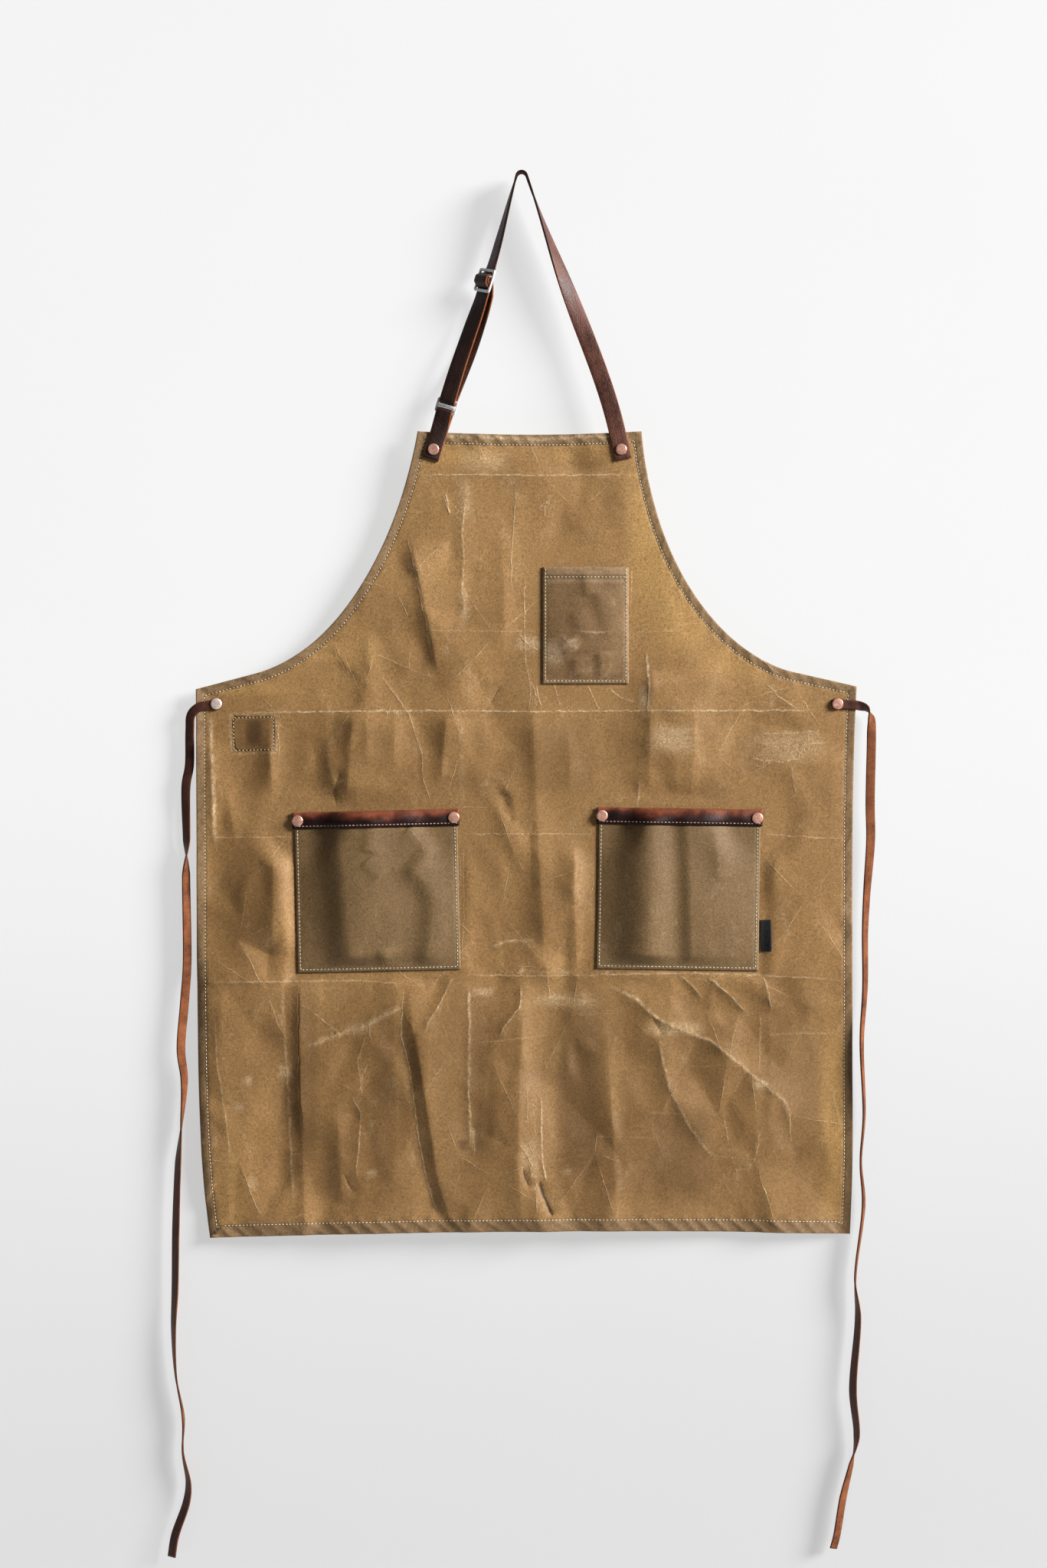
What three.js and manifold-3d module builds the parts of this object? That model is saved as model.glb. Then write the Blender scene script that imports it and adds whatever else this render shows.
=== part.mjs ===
// A waxed canvas work apron, hanging by its leather neck strap. Millimetres, +Z up.
// The origin is the underside of the neck strap where it hangs. The front faces -Y.
import * as THREE from 'three';
import { mergeVertices } from 'three/addons/utils/BufferGeometryUtils.js';
import Module from 'manifold-3d';

const wasm = await Module();
wasm.setup();

// Cloth and leather
const GAP = 0.3;
const CANVAS = 1.0;
const HEM_WIDTH = 10;
const HEM_THICKNESS = 2.4;
const HEM_OVERLAP = 0.5;
const TRIM_THICKNESS = 2.0;
const LEATHER = 2.2;
const LABEL_THICKNESS = 0.7;

// Corners and curve handles of each side edge, as [x, z]
const SIDES = {
  left: {
    bib: [-111, -277],
    armholeHigh: [-130, -385],
    armholeLow: [-188, -509],
    shoulder: [-284, -536],
    waist: [-349, -553],
    hip: [-346, -800],
    thigh: [-353, -1020],
    hem: [-334, -1141],
  },
  right: {
    bib: [128, -277],
    armholeHigh: [142, -437],
    armholeLow: [228, -524],
    shoulder: [297, -536],
    waist: [359, -550],
    hip: [348, -760],
    thigh: [360, -1000],
    hem: [352, -1137],
  },
};
const BIB_EDGE_HANDLE = [8, -284];
const HEM_EDGE_HANDLE = [0, -1127];
const EDGE_STEPS = 12;

// Pockets: centre, size, tilt in degrees and how far the mouth stands open
const POCKETS = {
  left: { x: -154.5, z: -769, width: 175, height: 172, tilt: 1.3, mouth: 10 },
  right: { x: 168, z: -767, width: 174, height: 173, tilt: -0.9, mouth: 10 },
  chest: { x: 68.4, z: -484.7, width: 92.5, height: 125, tilt: 0, mouth: 7 },
};
const TRIM_HEIGHT = 18;
const TRIM_OVERHANG = 2;
const TRIM_RIVET_INSET = 5.8;
const PATCH = { x: -287.5, z: -600.5, width: 50, height: 42, tilt: 1.5 };
const LABEL = { x: 261.6, z: -817, width: 11.4, height: 34, tilt: 1 };

// Drape of the canvas, towards the front
const SIDE_CURL = 9;
const HALF_WIDTH = 355;
const GRID_PITCH = 28;
const GRID_ENDS = { x: [-358, 368], z: [-1148, -268] };
const SLOPE_PROBE = 5;
const CUT_REACH = 60;
const FOLD_FADE = 0.18;
// Each fold: its crest from top to bottom as [x, z], its rise and the reach of its two flanks
const FOLDS = [
  { crest: [[-121, -380], [-98, -488], [-89, -538]], rise: 5, left: 12, right: 42 },
  { crest: [[-271, -573], [-266, -708], [-266, -860]], rise: 6, left: 45, right: 22 },
  { crest: [[-180, -573], [-187, -670]], rise: 5, left: 16, right: 55 },
  { crest: [[-79, -573], [-88, -670]], rise: 5, left: 18, right: 40 },
  { crest: [[11, -553], [16, -684], [26, -860]], rise: 6, left: 28, right: 45 },
  { crest: [[136, -512], [132, -670]], rise: 6, left: 16, right: 70 },
  { crest: [[-322, -872], [-319, -995], [-310, -1180]], rise: 6, left: 18, right: 70 },
  { crest: [[-237, -868], [-236, -991], [-230, -1190]], rise: 4, left: 16, right: 32 },
  { crest: [[-115, -868], [-111, -927], [-88, -1060], [-52, -1190]], rise: 7, left: 16, right: 55 },
  { crest: [[-7, -872], [7, -979], [26, -1190]], rise: 4, left: 45, right: 30 },
  { crest: [[88, -869], [143, -904], [216, -940], [287, -1027]], rise: 4, left: 22, right: 22 },
  { crest: [[139, -904], [151, -967], [214, -1063]], rise: 3, left: 25, right: 20 },
];
const CALM_NEAR_RIVET = [30, 58];
const CALM_AT_POCKET = [0.92, 1.12];
const POCKET_HELD_NEAR_RIVET = [28, 60];
const POCKET_OPENS = [-1, -0.2];
const POCKET_ROUNDNESS = 0.7;

// Neck strap: it bends over a round support and runs down to a rivet at each side of the bib
const STRAP_WIDTH = 18;
const STRAP_END = 11;
const SUPPORT_RADIUS = 4.6;
const BIB_RIVETS = { left: [-94.3, -296], right: [106.6, -296] };
const STRAP_STEP = 10;
const BEND_STEPS = 10;
const SLIDER_STEP = 1.4;
const TAB_SETTLE = 15;
const STRAP_LIFT_END = 40;
const RIGHT_UNTWIST_LENGTH = 215;
// How far the left leg is turned from facing the front, in degrees, along its length
const LEFT_TURNS = [
  { at: 0, turn: 90 },
  { at: 60, turn: 77 },
  { at: 102, turn: 50 },
  { at: 140, turn: 50 },
  { at: 200, turn: 30 },
  { at: 246, turn: 16 },
  { at: 268, turn: 16 },
  { at: 284, turn: 0 },
];

// Three-bar slides, square in section
const SLIDE_GAP = 0.5;
const BAR_HEIGHT = 3;
const BAR_DEPTH = 2.5;
const SLIDE_WINDOW = 19;
const SLIDE_SIDE = 2.3;
const SLIDE_CORNER = 2.2;
const CORNER_STEPS = 4;
const SLIDER = { at: 117, barSpacing: 11.2, centreProud: 0 };
const RING = { at: 258, barSpacing: 6.4, centreProud: 1.2 };
const FOLD_RADIUS = 3.4;
const SLIDER_ARCH = { height: 6.2, top: 2.5, foot: 9.4 };
const REAR_LAYER_AT_SLIDER = -5.6;
const LOOP_END_ANGLE = 250;

// Copper rivets with a washer behind, and the holes for them
const RIVET = {
  headRadius: 6,
  headHeight: 1.5,
  rimHeight: 0.75,
  shankRadius: 1.8,
  holeRadius: 2.2,
  washerRadius: 4.5,
  washerHeight: 1.2,
  peen: 0.8,
};
const RIVET_SIDES = 10;
const WAIST_RIVETS = { left: [-327.2, -568.3], right: [338.7, -568.3] };

// Waist ties: leather laces whose riveted end is cut round
const TIE_WIDTH = 10;
const TIE_THICKNESS = 2.0;
const TIE_HEAD_RADIUS = 6.6;
const TIE_SIDES = 8;
const TIE_STEP = 22;
const TIE_HEAD_STATIONS = [0.4, 2, 4, 6.6, 9, 12, 18, 24, 30, 36, 42, 50];
// Routes from the rivet to the free end; turn is 0 with the grain to the front, 180 with the flesh side
const TIES = {
  left: [
    { x: -320.8, y: 5.6, z: -567.6, turn: 0 },
    { x: -334, y: 6.1, z: -569.5, turn: 0 },
    { x: -346, y: 6.3, z: -572, turn: 0 },
    { x: -354.4, y: 7.2, z: -580, turn: 15 },
    { x: -356, y: 8.6, z: -596, turn: 20 },
    { x: -356.5, y: 9, z: -635, turn: 10 },
    { x: -360, y: 9, z: -655, turn: 10 },
    { x: -359.5, y: 9, z: -715, turn: 40 },
    { x: -360, y: 9, z: -752, turn: 140 },
    { x: -359, y: 9, z: -850, turn: 150 },
    { x: -362, y: 9, z: -892, turn: 155 },
    { x: -365.5, y: 9, z: -940, turn: 150 },
    { x: -362, y: 9, z: -972, turn: 130 },
    { x: -365, y: 9, z: -1020, turn: 90 },
    { x: -368.5, y: 9, z: -1060, turn: 50 },
    { x: -371, y: 9, z: -1130, turn: 40 },
    { x: -372, y: 9, z: -1200, turn: 45 },
    { x: -373.5, y: 9, z: -1240, turn: 60 },
    { x: -371, y: 9, z: -1290, turn: 80 },
    { x: -363, y: 9, z: -1335, turn: 95 },
    { x: -363.5, y: 9, z: -1372, turn: 80 },
    { x: -357.5, y: 9, z: -1405, turn: 55 },
    { x: -359.5, y: 9, z: -1425, turn: 40 },
    { x: -372, y: 9, z: -1462, turn: 30 },
    { x: -375.5, y: 9, z: -1484, turn: 30 },
  ],
  right: [
    { x: 332.2, y: 6.1, z: -567.8, turn: 0 },
    { x: 346, y: 6.7, z: -568.8, turn: 0 },
    { x: 360, y: 7.2, z: -570, turn: 0 },
    { x: 370, y: 8.2, z: -573.5, turn: 55 },
    { x: 375, y: 8.6, z: -583, turn: 135 },
    { x: 375.4, y: 9, z: -600, turn: 170 },
    { x: 374, y: 9, z: -675, turn: 175 },
    { x: 374.5, y: 9, z: -714, turn: 165 },
    { x: 370.5, y: 9, z: -770, turn: 140 },
    { x: 368.5, y: 9, z: -812, turn: 130 },
    { x: 368.5, y: 9, z: -872, turn: 125 },
    { x: 365, y: 9, z: -930, turn: 115 },
    { x: 367.5, y: 9, z: -1010, turn: 105 },
    { x: 364, y: 9, z: -1060, turn: 100 },
    { x: 367, y: 9, z: -1105, turn: 110 },
    { x: 358, y: 9, z: -1186, turn: 100 },
    { x: 361, y: 9, z: -1226, turn: 60 },
    { x: 355.5, y: 9, z: -1305, turn: 45 },
    { x: 359.5, y: 9, z: -1355, turn: 60 },
    { x: 353.5, y: 9, z: -1385, turn: 120 },
    { x: 345, y: 9, z: -1420, turn: 140 },
    { x: 338, y: 9, z: -1462, turn: 140 },
    { x: 334.5, y: 9, z: -1475, turn: 140 },
  ],
};

const MATERIALS = {
  canvas: new THREE.MeshStandardMaterial({ color: 0x8a6a45, roughness: 0.75, metalness: 0 }),
  leather: new THREE.MeshStandardMaterial({ color: 0x3b221b, roughness: 0.5, metalness: 0 }),
  lace: new THREE.MeshStandardMaterial({ color: 0x5d3a2a, roughness: 0.6, metalness: 0 }),
  label: new THREE.MeshStandardMaterial({ color: 0x1c1b1b, roughness: 0.8, metalness: 0 }),
  steel: new THREE.MeshStandardMaterial({ color: 0xc9c9c6, roughness: 0.3, metalness: 1 }),
  copper: new THREE.MeshStandardMaterial({ color: 0xc98f78, roughness: 0.35, metalness: 1 }),
};

// A closed geometry as a solid that can be joined and cut
function solid(geometry) {
  geometry.deleteAttribute('normal');
  geometry.deleteAttribute('uv');
  const merged = mergeVertices(geometry, 1e-4);
  const vertProperties = new Float32Array(merged.attributes.position.array);
  const triVerts = new Uint32Array(merged.index.array);
  return new wasm.Manifold(new wasm.Mesh({ numProp: 3, vertProperties, triVerts }));
}

function geometryOf(manifold) {
  const { vertProperties, triVerts } = manifold.getMesh();
  const geometry = new THREE.BufferGeometry();
  geometry.setAttribute('position', new THREE.BufferAttribute(new Float32Array(vertProperties), 3));
  geometry.setIndex(new THREE.BufferAttribute(new Uint32Array(triVerts), 1));
  return geometry;
}

function piece(name, manifold, material) {
  const mesh = new THREE.Mesh(geometryOf(manifold), material);
  mesh.name = name;
  return mesh;
}

// A tilted rectangle's point given from its centre, as [x, z]
function tilted(box, across, up) {
  const angle = THREE.MathUtils.degToRad(box.tilt);
  const x = box.x + across * Math.cos(angle) - up * Math.sin(angle);
  const z = box.z + across * Math.sin(angle) + up * Math.cos(angle);
  return [x, z];
}

// The same point's place in the rectangle, -1 to 1 both ways
function placeIn(box, x, z) {
  const angle = THREE.MathUtils.degToRad(box.tilt);
  const across = (x - box.x) * Math.cos(angle) + (z - box.z) * Math.sin(angle);
  const up = (z - box.z) * Math.cos(angle) - (x - box.x) * Math.sin(angle);
  return { across: across / (box.width / 2), up: up / (box.height / 2) };
}

// The leather strip along a hand pocket's mouth, as a rectangle on the panel
function trimOf(pocket) {
  const [x, z] = tilted(pocket, 0, (pocket.height - TRIM_HEIGHT) / 2);
  return { x, z, width: pocket.width + 2 * TRIM_OVERHANG, height: TRIM_HEIGHT, tilt: pocket.tilt };
}

function trimRivets(pocket) {
  const trim = trimOf(pocket);
  const reach = trim.width / 2 - TRIM_RIVET_INSET;
  return [tilted(trim, -reach, 0), tilted(trim, reach, 0)];
}

const RIVET_SPOTS = [
  BIB_RIVETS.left,
  BIB_RIVETS.right,
  WAIST_RIVETS.left,
  WAIST_RIVETS.right,
  ...trimRivets(POCKETS.left),
  ...trimRivets(POCKETS.right),
];

// One fold's height at a point, from the nearest place on its crest
function foldDepth(fold, x, z) {
  const spans = fold.crest.length - 1;
  let nearest = Infinity;
  let toRight = true;
  let progress = 0;
  for (let i = 0; i < spans; i += 1) {
    const [startX, startZ] = fold.crest[i];
    const spanX = fold.crest[i + 1][0] - startX;
    const spanZ = fold.crest[i + 1][1] - startZ;
    const along = ((x - startX) * spanX + (z - startZ) * spanZ) / (spanX * spanX + spanZ * spanZ);
    const held = THREE.MathUtils.clamp(along, 0, 1);
    const away = Math.hypot(x - startX - held * spanX, z - startZ - held * spanZ);
    if (away < nearest) {
      nearest = away;
      toRight = (x - startX) * spanZ - (z - startZ) * spanX < 0;
      progress = (i + held) / spans;
    }
  }
  const fade = THREE.MathUtils.smoothstep(Math.min(progress, 1 - progress), 0, FOLD_FADE);
  const share = nearest / (toRight ? fold.right : fold.left);
  return fold.rise * fade * Math.exp(-share * share);
}

// The canvas lies smooth behind pockets and round rivets
function calm(x, z) {
  let free = 1;
  for (const pocket of Object.values(POCKETS)) {
    const place = placeIn(pocket, x, z);
    const fromMiddle = Math.max(Math.abs(place.across), Math.abs(place.up));
    free *= THREE.MathUtils.smoothstep(fromMiddle, ...CALM_AT_POCKET);
  }
  for (const [rivetX, rivetZ] of RIVET_SPOTS) {
    free *= THREE.MathUtils.smoothstep(Math.hypot(x - rivetX, z - rivetZ), ...CALM_NEAR_RIVET);
  }
  return free;
}

// How far the panel's front stands towards the viewer
function panelDepth(x, z) {
  const folds = FOLDS.reduce((sum, fold) => sum + foldDepth(fold, x, z), 0);
  return folds * calm(x, z) - SIDE_CURL * (x / HALF_WIDTH) ** 2;
}

// Even stations between key positions
function stations(keys, pitch) {
  const sorted = [...keys].sort((a, b) => a - b);
  const result = [sorted[0]];
  for (let i = 1; i < sorted.length; i += 1) {
    const span = sorted[i] - sorted[i - 1];
    const steps = Math.max(1, Math.round(span / pitch));
    for (let step = 1; step <= steps; step += 1) {
      result.push(sorted[i - 1] + (span * step) / steps);
    }
  }
  return result;
}

const pocketSides = Object.values(POCKETS).flatMap(({ x, width }) => [x - width / 2, x + width / 2]);
const pocketEnds = [POCKETS.left, POCKETS.chest].flatMap(({ z, height }) => [z - height / 2, z + height / 2]);
const GRID = {
  x: stations([...GRID_ENDS.x, ...pocketSides], GRID_PITCH),
  z: stations([...GRID_ENDS.z, ...pocketEnds], GRID_PITCH),
};

// A closed wall over the grid between two depths, so that walls over the same panel stay parallel
function wall(back, front) {
  const columns = GRID.x.length - 1;
  const rows = GRID.z.length - 1;
  const box = new THREE.BoxGeometry(1, 1, 1, columns, rows, 1);
  const points = box.attributes.position;
  for (let i = 0; i < points.count; i += 1) {
    const x = GRID.x[Math.round((points.getX(i) + 0.5) * columns)];
    const z = GRID.z[Math.round((points.getY(i) + 0.5) * rows)];
    const depth = points.getZ(i) > 0 ? front(x, z) : back(x, z);
    points.setXYZ(i, x, -depth, z);
  }
  // The back splits its squares along the same diagonals as the front
  const backFace = box.groups[5];
  const corners = box.index.array;
  for (let i = backFace.start; i < backFace.start + backFace.count; i += 6) {
    const [a, b, d, , c] = corners.slice(i, i + 5);
    corners.set([a, b, c, a, c, d], i);
  }
  return solid(box);
}

// An outline in X and Z carried straight through the apron from front to back
function throughOutline(shape) {
  const settings = { depth: 2 * CUT_REACH, bevelEnabled: false, curveSegments: EDGE_STEPS };
  const geometry = new THREE.ExtrudeGeometry(shape, settings);
  geometry.translate(0, 0, -CUT_REACH);
  geometry.rotateX(Math.PI / 2);
  return solid(geometry);
}

function boxOutline(box) {
  const corners = [[-1, -1], [1, -1], [1, 1], [-1, 1]];
  const points = corners.map(([across, up]) => tilted(box, (across * box.width) / 2, (up * box.height) / 2));
  return new THREE.Shape(points.map(([x, z]) => new THREE.Vector2(x, z)));
}

function apronOutline() {
  const { left, right } = SIDES;
  const shape = new THREE.Shape();
  shape.moveTo(...left.bib);
  shape.bezierCurveTo(...left.armholeHigh, ...left.armholeLow, ...left.shoulder);
  shape.lineTo(...left.waist);
  shape.bezierCurveTo(...left.hip, ...left.thigh, ...left.hem);
  shape.quadraticCurveTo(...HEM_EDGE_HANDLE, ...right.hem);
  shape.bezierCurveTo(...right.thigh, ...right.hip, ...right.waist);
  shape.lineTo(...right.shoulder);
  shape.bezierCurveTo(...right.armholeLow, ...right.armholeHigh, ...right.bib);
  shape.quadraticCurveTo(...BIB_EDGE_HANDLE, ...left.bib);
  return shape;
}

// The outline moved inwards, corner by corner
function insetOutline(shape, distance) {
  const points = shape.getPoints(EDGE_STEPS);
  points.pop();
  const turn = Math.sign(THREE.ShapeUtils.area(points));
  const inner = points.map((point, i) => {
    const before = points[(i + points.length - 1) % points.length];
    const after = points[(i + 1) % points.length];
    const arriving = point.clone().sub(before).normalize();
    const leaving = after.clone().sub(point).normalize();
    const first = new THREE.Vector2(-arriving.y, arriving.x).multiplyScalar(turn);
    const second = new THREE.Vector2(-leaving.y, leaving.x).multiplyScalar(turn);
    const mitre = distance / (1 + first.dot(second));
    return point.clone().addScaledVector(first.add(second), mitre);
  });
  return new THREE.Shape(inner);
}

// Where a rivet goes through: the panel's front there and the way it faces
function rivetSeat([x, z]) {
  const probe = SLOPE_PROBE;
  const slopeX = (panelDepth(x + probe, z) - panelDepth(x - probe, z)) / (2 * probe);
  const slopeZ = (panelDepth(x, z + probe) - panelDepth(x, z - probe)) / (2 * probe);
  const facing = new THREE.Vector3(-slopeX, -1, -slopeZ).normalize();
  return { point: new THREE.Vector3(x, -panelDepth(x, z), z), facing };
}

function placeOnSeat(geometry, seat) {
  const turn = new THREE.Quaternion().setFromUnitVectors(new THREE.Vector3(0, 1, 0), seat.facing);
  geometry.applyQuaternion(turn);
  geometry.translate(seat.point.x, seat.point.y, seat.point.z);
  return geometry;
}

function rivetHole(spot) {
  const length = 2 * CUT_REACH;
  const geometry = new THREE.CylinderGeometry(RIVET.holeRadius, RIVET.holeRadius, length, RIVET_SIDES);
  return solid(placeOnSeat(geometry, rivetSeat(spot)));
}

function drilled(manifold, spots) {
  return spots.reduce((result, spot) => result.subtract(rivetHole(spot)), manifold);
}

// A rivet from under its head, at the given height over the panel, to its washer behind
function rivet(name, spot, headAt, washerAt) {
  const crown = headAt + RIVET.headHeight;
  const washerBack = washerAt - RIVET.washerHeight;
  const profile = [
    [0, washerBack - RIVET.peen],
    [RIVET.shankRadius, washerBack - RIVET.peen],
    [RIVET.shankRadius, washerBack],
    [RIVET.washerRadius, washerBack],
    [RIVET.washerRadius, washerAt],
    [RIVET.shankRadius, washerAt],
    [RIVET.shankRadius, headAt],
    [RIVET.headRadius, headAt],
    [RIVET.headRadius, headAt + RIVET.rimHeight],
    [0, crown],
  ];
  const points = profile.map(([radius, height]) => new THREE.Vector2(radius, height));
  const geometry = new THREE.LatheGeometry(points, RIVET_SIDES);
  return piece(name, solid(placeOnSeat(geometry, rivetSeat(spot))), MATERIALS.copper);
}

// The canvas body with its edges turned to the back
function bodyPanel() {
  const outline = apronOutline();
  const whole = throughOutline(outline);
  const cloth = wall((x, z) => panelDepth(x, z) - CANVAS, panelDepth).intersect(whole);
  const turnedBack = wall(
    (x, z) => panelDepth(x, z) - HEM_THICKNESS,
    (x, z) => panelDepth(x, z) - HEM_OVERLAP,
  );
  const border = whole.subtract(throughOutline(insetOutline(outline, HEM_WIDTH)));
  const panel = cloth.add(turnedBack.intersect(border));
  return piece('body_panel', drilled(panel, RIVET_SPOTS), MATERIALS.canvas);
}

// How far a pocket's cloth stands off the panel: nothing at its seams and rivets, most at its mouth
function pocketBulge(pocket, x, z) {
  const place = placeIn(pocket, x, z);
  const sideways = Math.max(0, 1 - place.across * place.across) ** POCKET_ROUNDNESS;
  const bulge = pocket.mouth * sideways * THREE.MathUtils.smoothstep(place.up, ...POCKET_OPENS);
  return RIVET_SPOTS.reduce((held, [rivetX, rivetZ]) => {
    return held * THREE.MathUtils.smoothstep(Math.hypot(x - rivetX, z - rivetZ), ...POCKET_HELD_NEAR_RIVET);
  }, bulge);
}

function pocketFront(pocket, x, z) {
  return panelDepth(x, z) + GAP + CANVAS + pocketBulge(pocket, x, z);
}

function pocket(name, box, rivets) {
  const cloth = wall(
    (x, z) => pocketFront(box, x, z) - CANVAS,
    (x, z) => pocketFront(box, x, z),
  );
  return piece(name, drilled(cloth.intersect(throughOutline(boxOutline(box))), rivets), MATERIALS.canvas);
}

function pocketTrim(name, box) {
  const strip = wall(
    (x, z) => pocketFront(box, x, z) + GAP,
    (x, z) => pocketFront(box, x, z) + GAP + TRIM_THICKNESS,
  );
  const cut = strip.intersect(throughOutline(boxOutline(trimOf(box))));
  return piece(name, drilled(cut, trimRivets(box)), MATERIALS.leather);
}

function cornerPatch() {
  const cloth = wall(
    (x, z) => panelDepth(x, z) - CANVAS - GAP - CANVAS,
    (x, z) => panelDepth(x, z) - CANVAS - GAP,
  );
  return piece('corner_patch', cloth.intersect(throughOutline(boxOutline(PATCH))), MATERIALS.canvas);
}

function pocketLabel() {
  const cloth = wall(
    (x, z) => panelDepth(x, z) + GAP,
    (x, z) => panelDepth(x, z) + GAP + LABEL_THICKNESS,
  );
  return piece('pocket_label', cloth.intersect(throughOutline(boxOutline(LABEL))), MATERIALS.label);
}

// One leg of the neck strap: a straight run from the bend over the support to a bib rivet
class StrapLeg {
  constructor(side, rivetSpot, turnAt) {
    const bendRadius = SUPPORT_RADIUS + LEATHER / 2;
    const across = Math.abs(rivetSpot[0]);
    const down = -SUPPORT_RADIUS - rivetSpot[1];
    this.lean = Math.atan2(across, down) - Math.asin(bendRadius / Math.hypot(across, down));
    this.length = Math.sqrt(across * across + down * down - bendRadius * bendRadius);
    this.down = new THREE.Vector3(side * Math.sin(this.lean), 0, -Math.cos(this.lean));
    this.inward = new THREE.Vector3(-side * Math.cos(this.lean), 0, -Math.sin(this.lean));
    this.start = new THREE.Vector3(0, 0, -SUPPORT_RADIUS).addScaledVector(this.inward, -bendRadius);
    this.bibY = HEM_THICKNESS / 2 - panelDepth(...rivetSpot);
    this.turnAt = turnAt;
  }

  // Frame at a distance down the leg: place, width direction and outward direction
  frame(at) {
    const turn = THREE.MathUtils.degToRad(this.turnAt(at));
    const toFront = new THREE.Vector3(0, -1, 0);
    const place = this.start.clone().addScaledVector(this.down, at);
    place.y = this.bibY * THREE.MathUtils.smoothstep(at, 0, RING.at);
    const width = this.inward.clone().multiplyScalar(Math.cos(turn)).addScaledVector(toFront, Math.sin(turn));
    const out = toFront.clone().multiplyScalar(Math.cos(turn)).addScaledVector(this.inward, -Math.sin(turn));
    return { place, width, out };
  }
}

function leftTurn(at) {
  const later = LEFT_TURNS.findIndex((row) => row.at >= at);
  if (later < 0) return LEFT_TURNS.at(-1).turn;
  if (later === 0) return LEFT_TURNS[0].turn;
  const from = LEFT_TURNS[later - 1];
  const to = LEFT_TURNS[later];
  return THREE.MathUtils.lerp(from.turn, to.turn, THREE.MathUtils.smoothstep(at, from.at, to.at));
}

function rightTurn(at) {
  return 90 * (1 - THREE.MathUtils.smoothstep(at, 0, RIGHT_UNTWIST_LENGTH));
}

const LEFT_LEG = new StrapLeg(-1, BIB_RIVETS.left, leftTurn);
const RIGHT_LEG = new StrapLeg(1, BIB_RIVETS.right, rightTurn);
const ON_BIB = HEM_THICKNESS / 2 + GAP + LEATHER / 2;
const BEHIND_BAR = -(BAR_DEPTH / 2 + SLIDE_GAP + LEATHER / 2);

// Cross-sections of a strip that follows (at, off) points beside a leg, off being outwards from it
function legSections(leg, path) {
  return path.map(([at, off], i) => {
    const before = path[Math.max(0, i - 1)];
    const after = path[Math.min(path.length - 1, i + 1)];
    const { place, width, out } = leg.frame(at);
    const thickness = leg.down.clone().multiplyScalar(before[1] - after[1]);
    thickness.addScaledVector(out, after[0] - before[0]).normalize();
    return { place: place.addScaledVector(out, off), width, thickness };
  });
}

// A strip of leather through its cross-sections
function strip(sections) {
  const spans = sections.length - 1;
  const box = new THREE.BoxGeometry(1, 1, 1, 1, spans, 1);
  const points = box.attributes.position;
  const corner = new THREE.Vector3();
  for (let i = 0; i < points.count; i += 1) {
    const section = sections[Math.round((0.5 - points.getY(i)) * spans)];
    corner.copy(section.place);
    corner.addScaledVector(section.width, points.getX(i) * STRAP_WIDTH);
    corner.addScaledVector(section.thickness, points.getZ(i) * LEATHER);
    points.setXYZ(i, corner.x, corner.y, corner.z);
  }
  return solid(box);
}

function evenly(from, to, step) {
  const steps = Math.max(1, Math.ceil(Math.abs(to - from) / step));
  return Array.from({ length: steps + 1 }, (_, i) => from + ((to - from) * i) / steps);
}

// Points round a bar, the angle counted from the front, downwards when positive
function roundBar(at, radius, fromAngle, toAngle) {
  return evenly(fromAngle, toAngle, 180 / BEND_STEPS).map((angle) => {
    const radians = THREE.MathUtils.degToRad(angle);
    return [at + radius * Math.sin(radians), radius * Math.cos(radians)];
  });
}

// Offset of the strap's front layer between its bend and the ring
function frontLayer(at) {
  const fromSlider = Math.abs(at - SLIDER.at);
  const arch = 1 - THREE.MathUtils.smoothstep(fromSlider, SLIDER_ARCH.top, SLIDER_ARCH.foot);
  const before = BEHIND_BAR * THREE.MathUtils.smoothstep(at, 0, SLIDER.at - SLIDER.barSpacing - BAR_HEIGHT);
  const leaves = SLIDER.at + 2 * SLIDER.barSpacing;
  const arrives = RING.at - 2 * RING.barSpacing;
  const toRing = THREE.MathUtils.smoothstep(at, leaves, arrives);
  return before + arch * (SLIDER_ARCH.height - BEHIND_BAR) + toRing * (FOLD_RADIUS - BEHIND_BAR);
}

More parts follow.
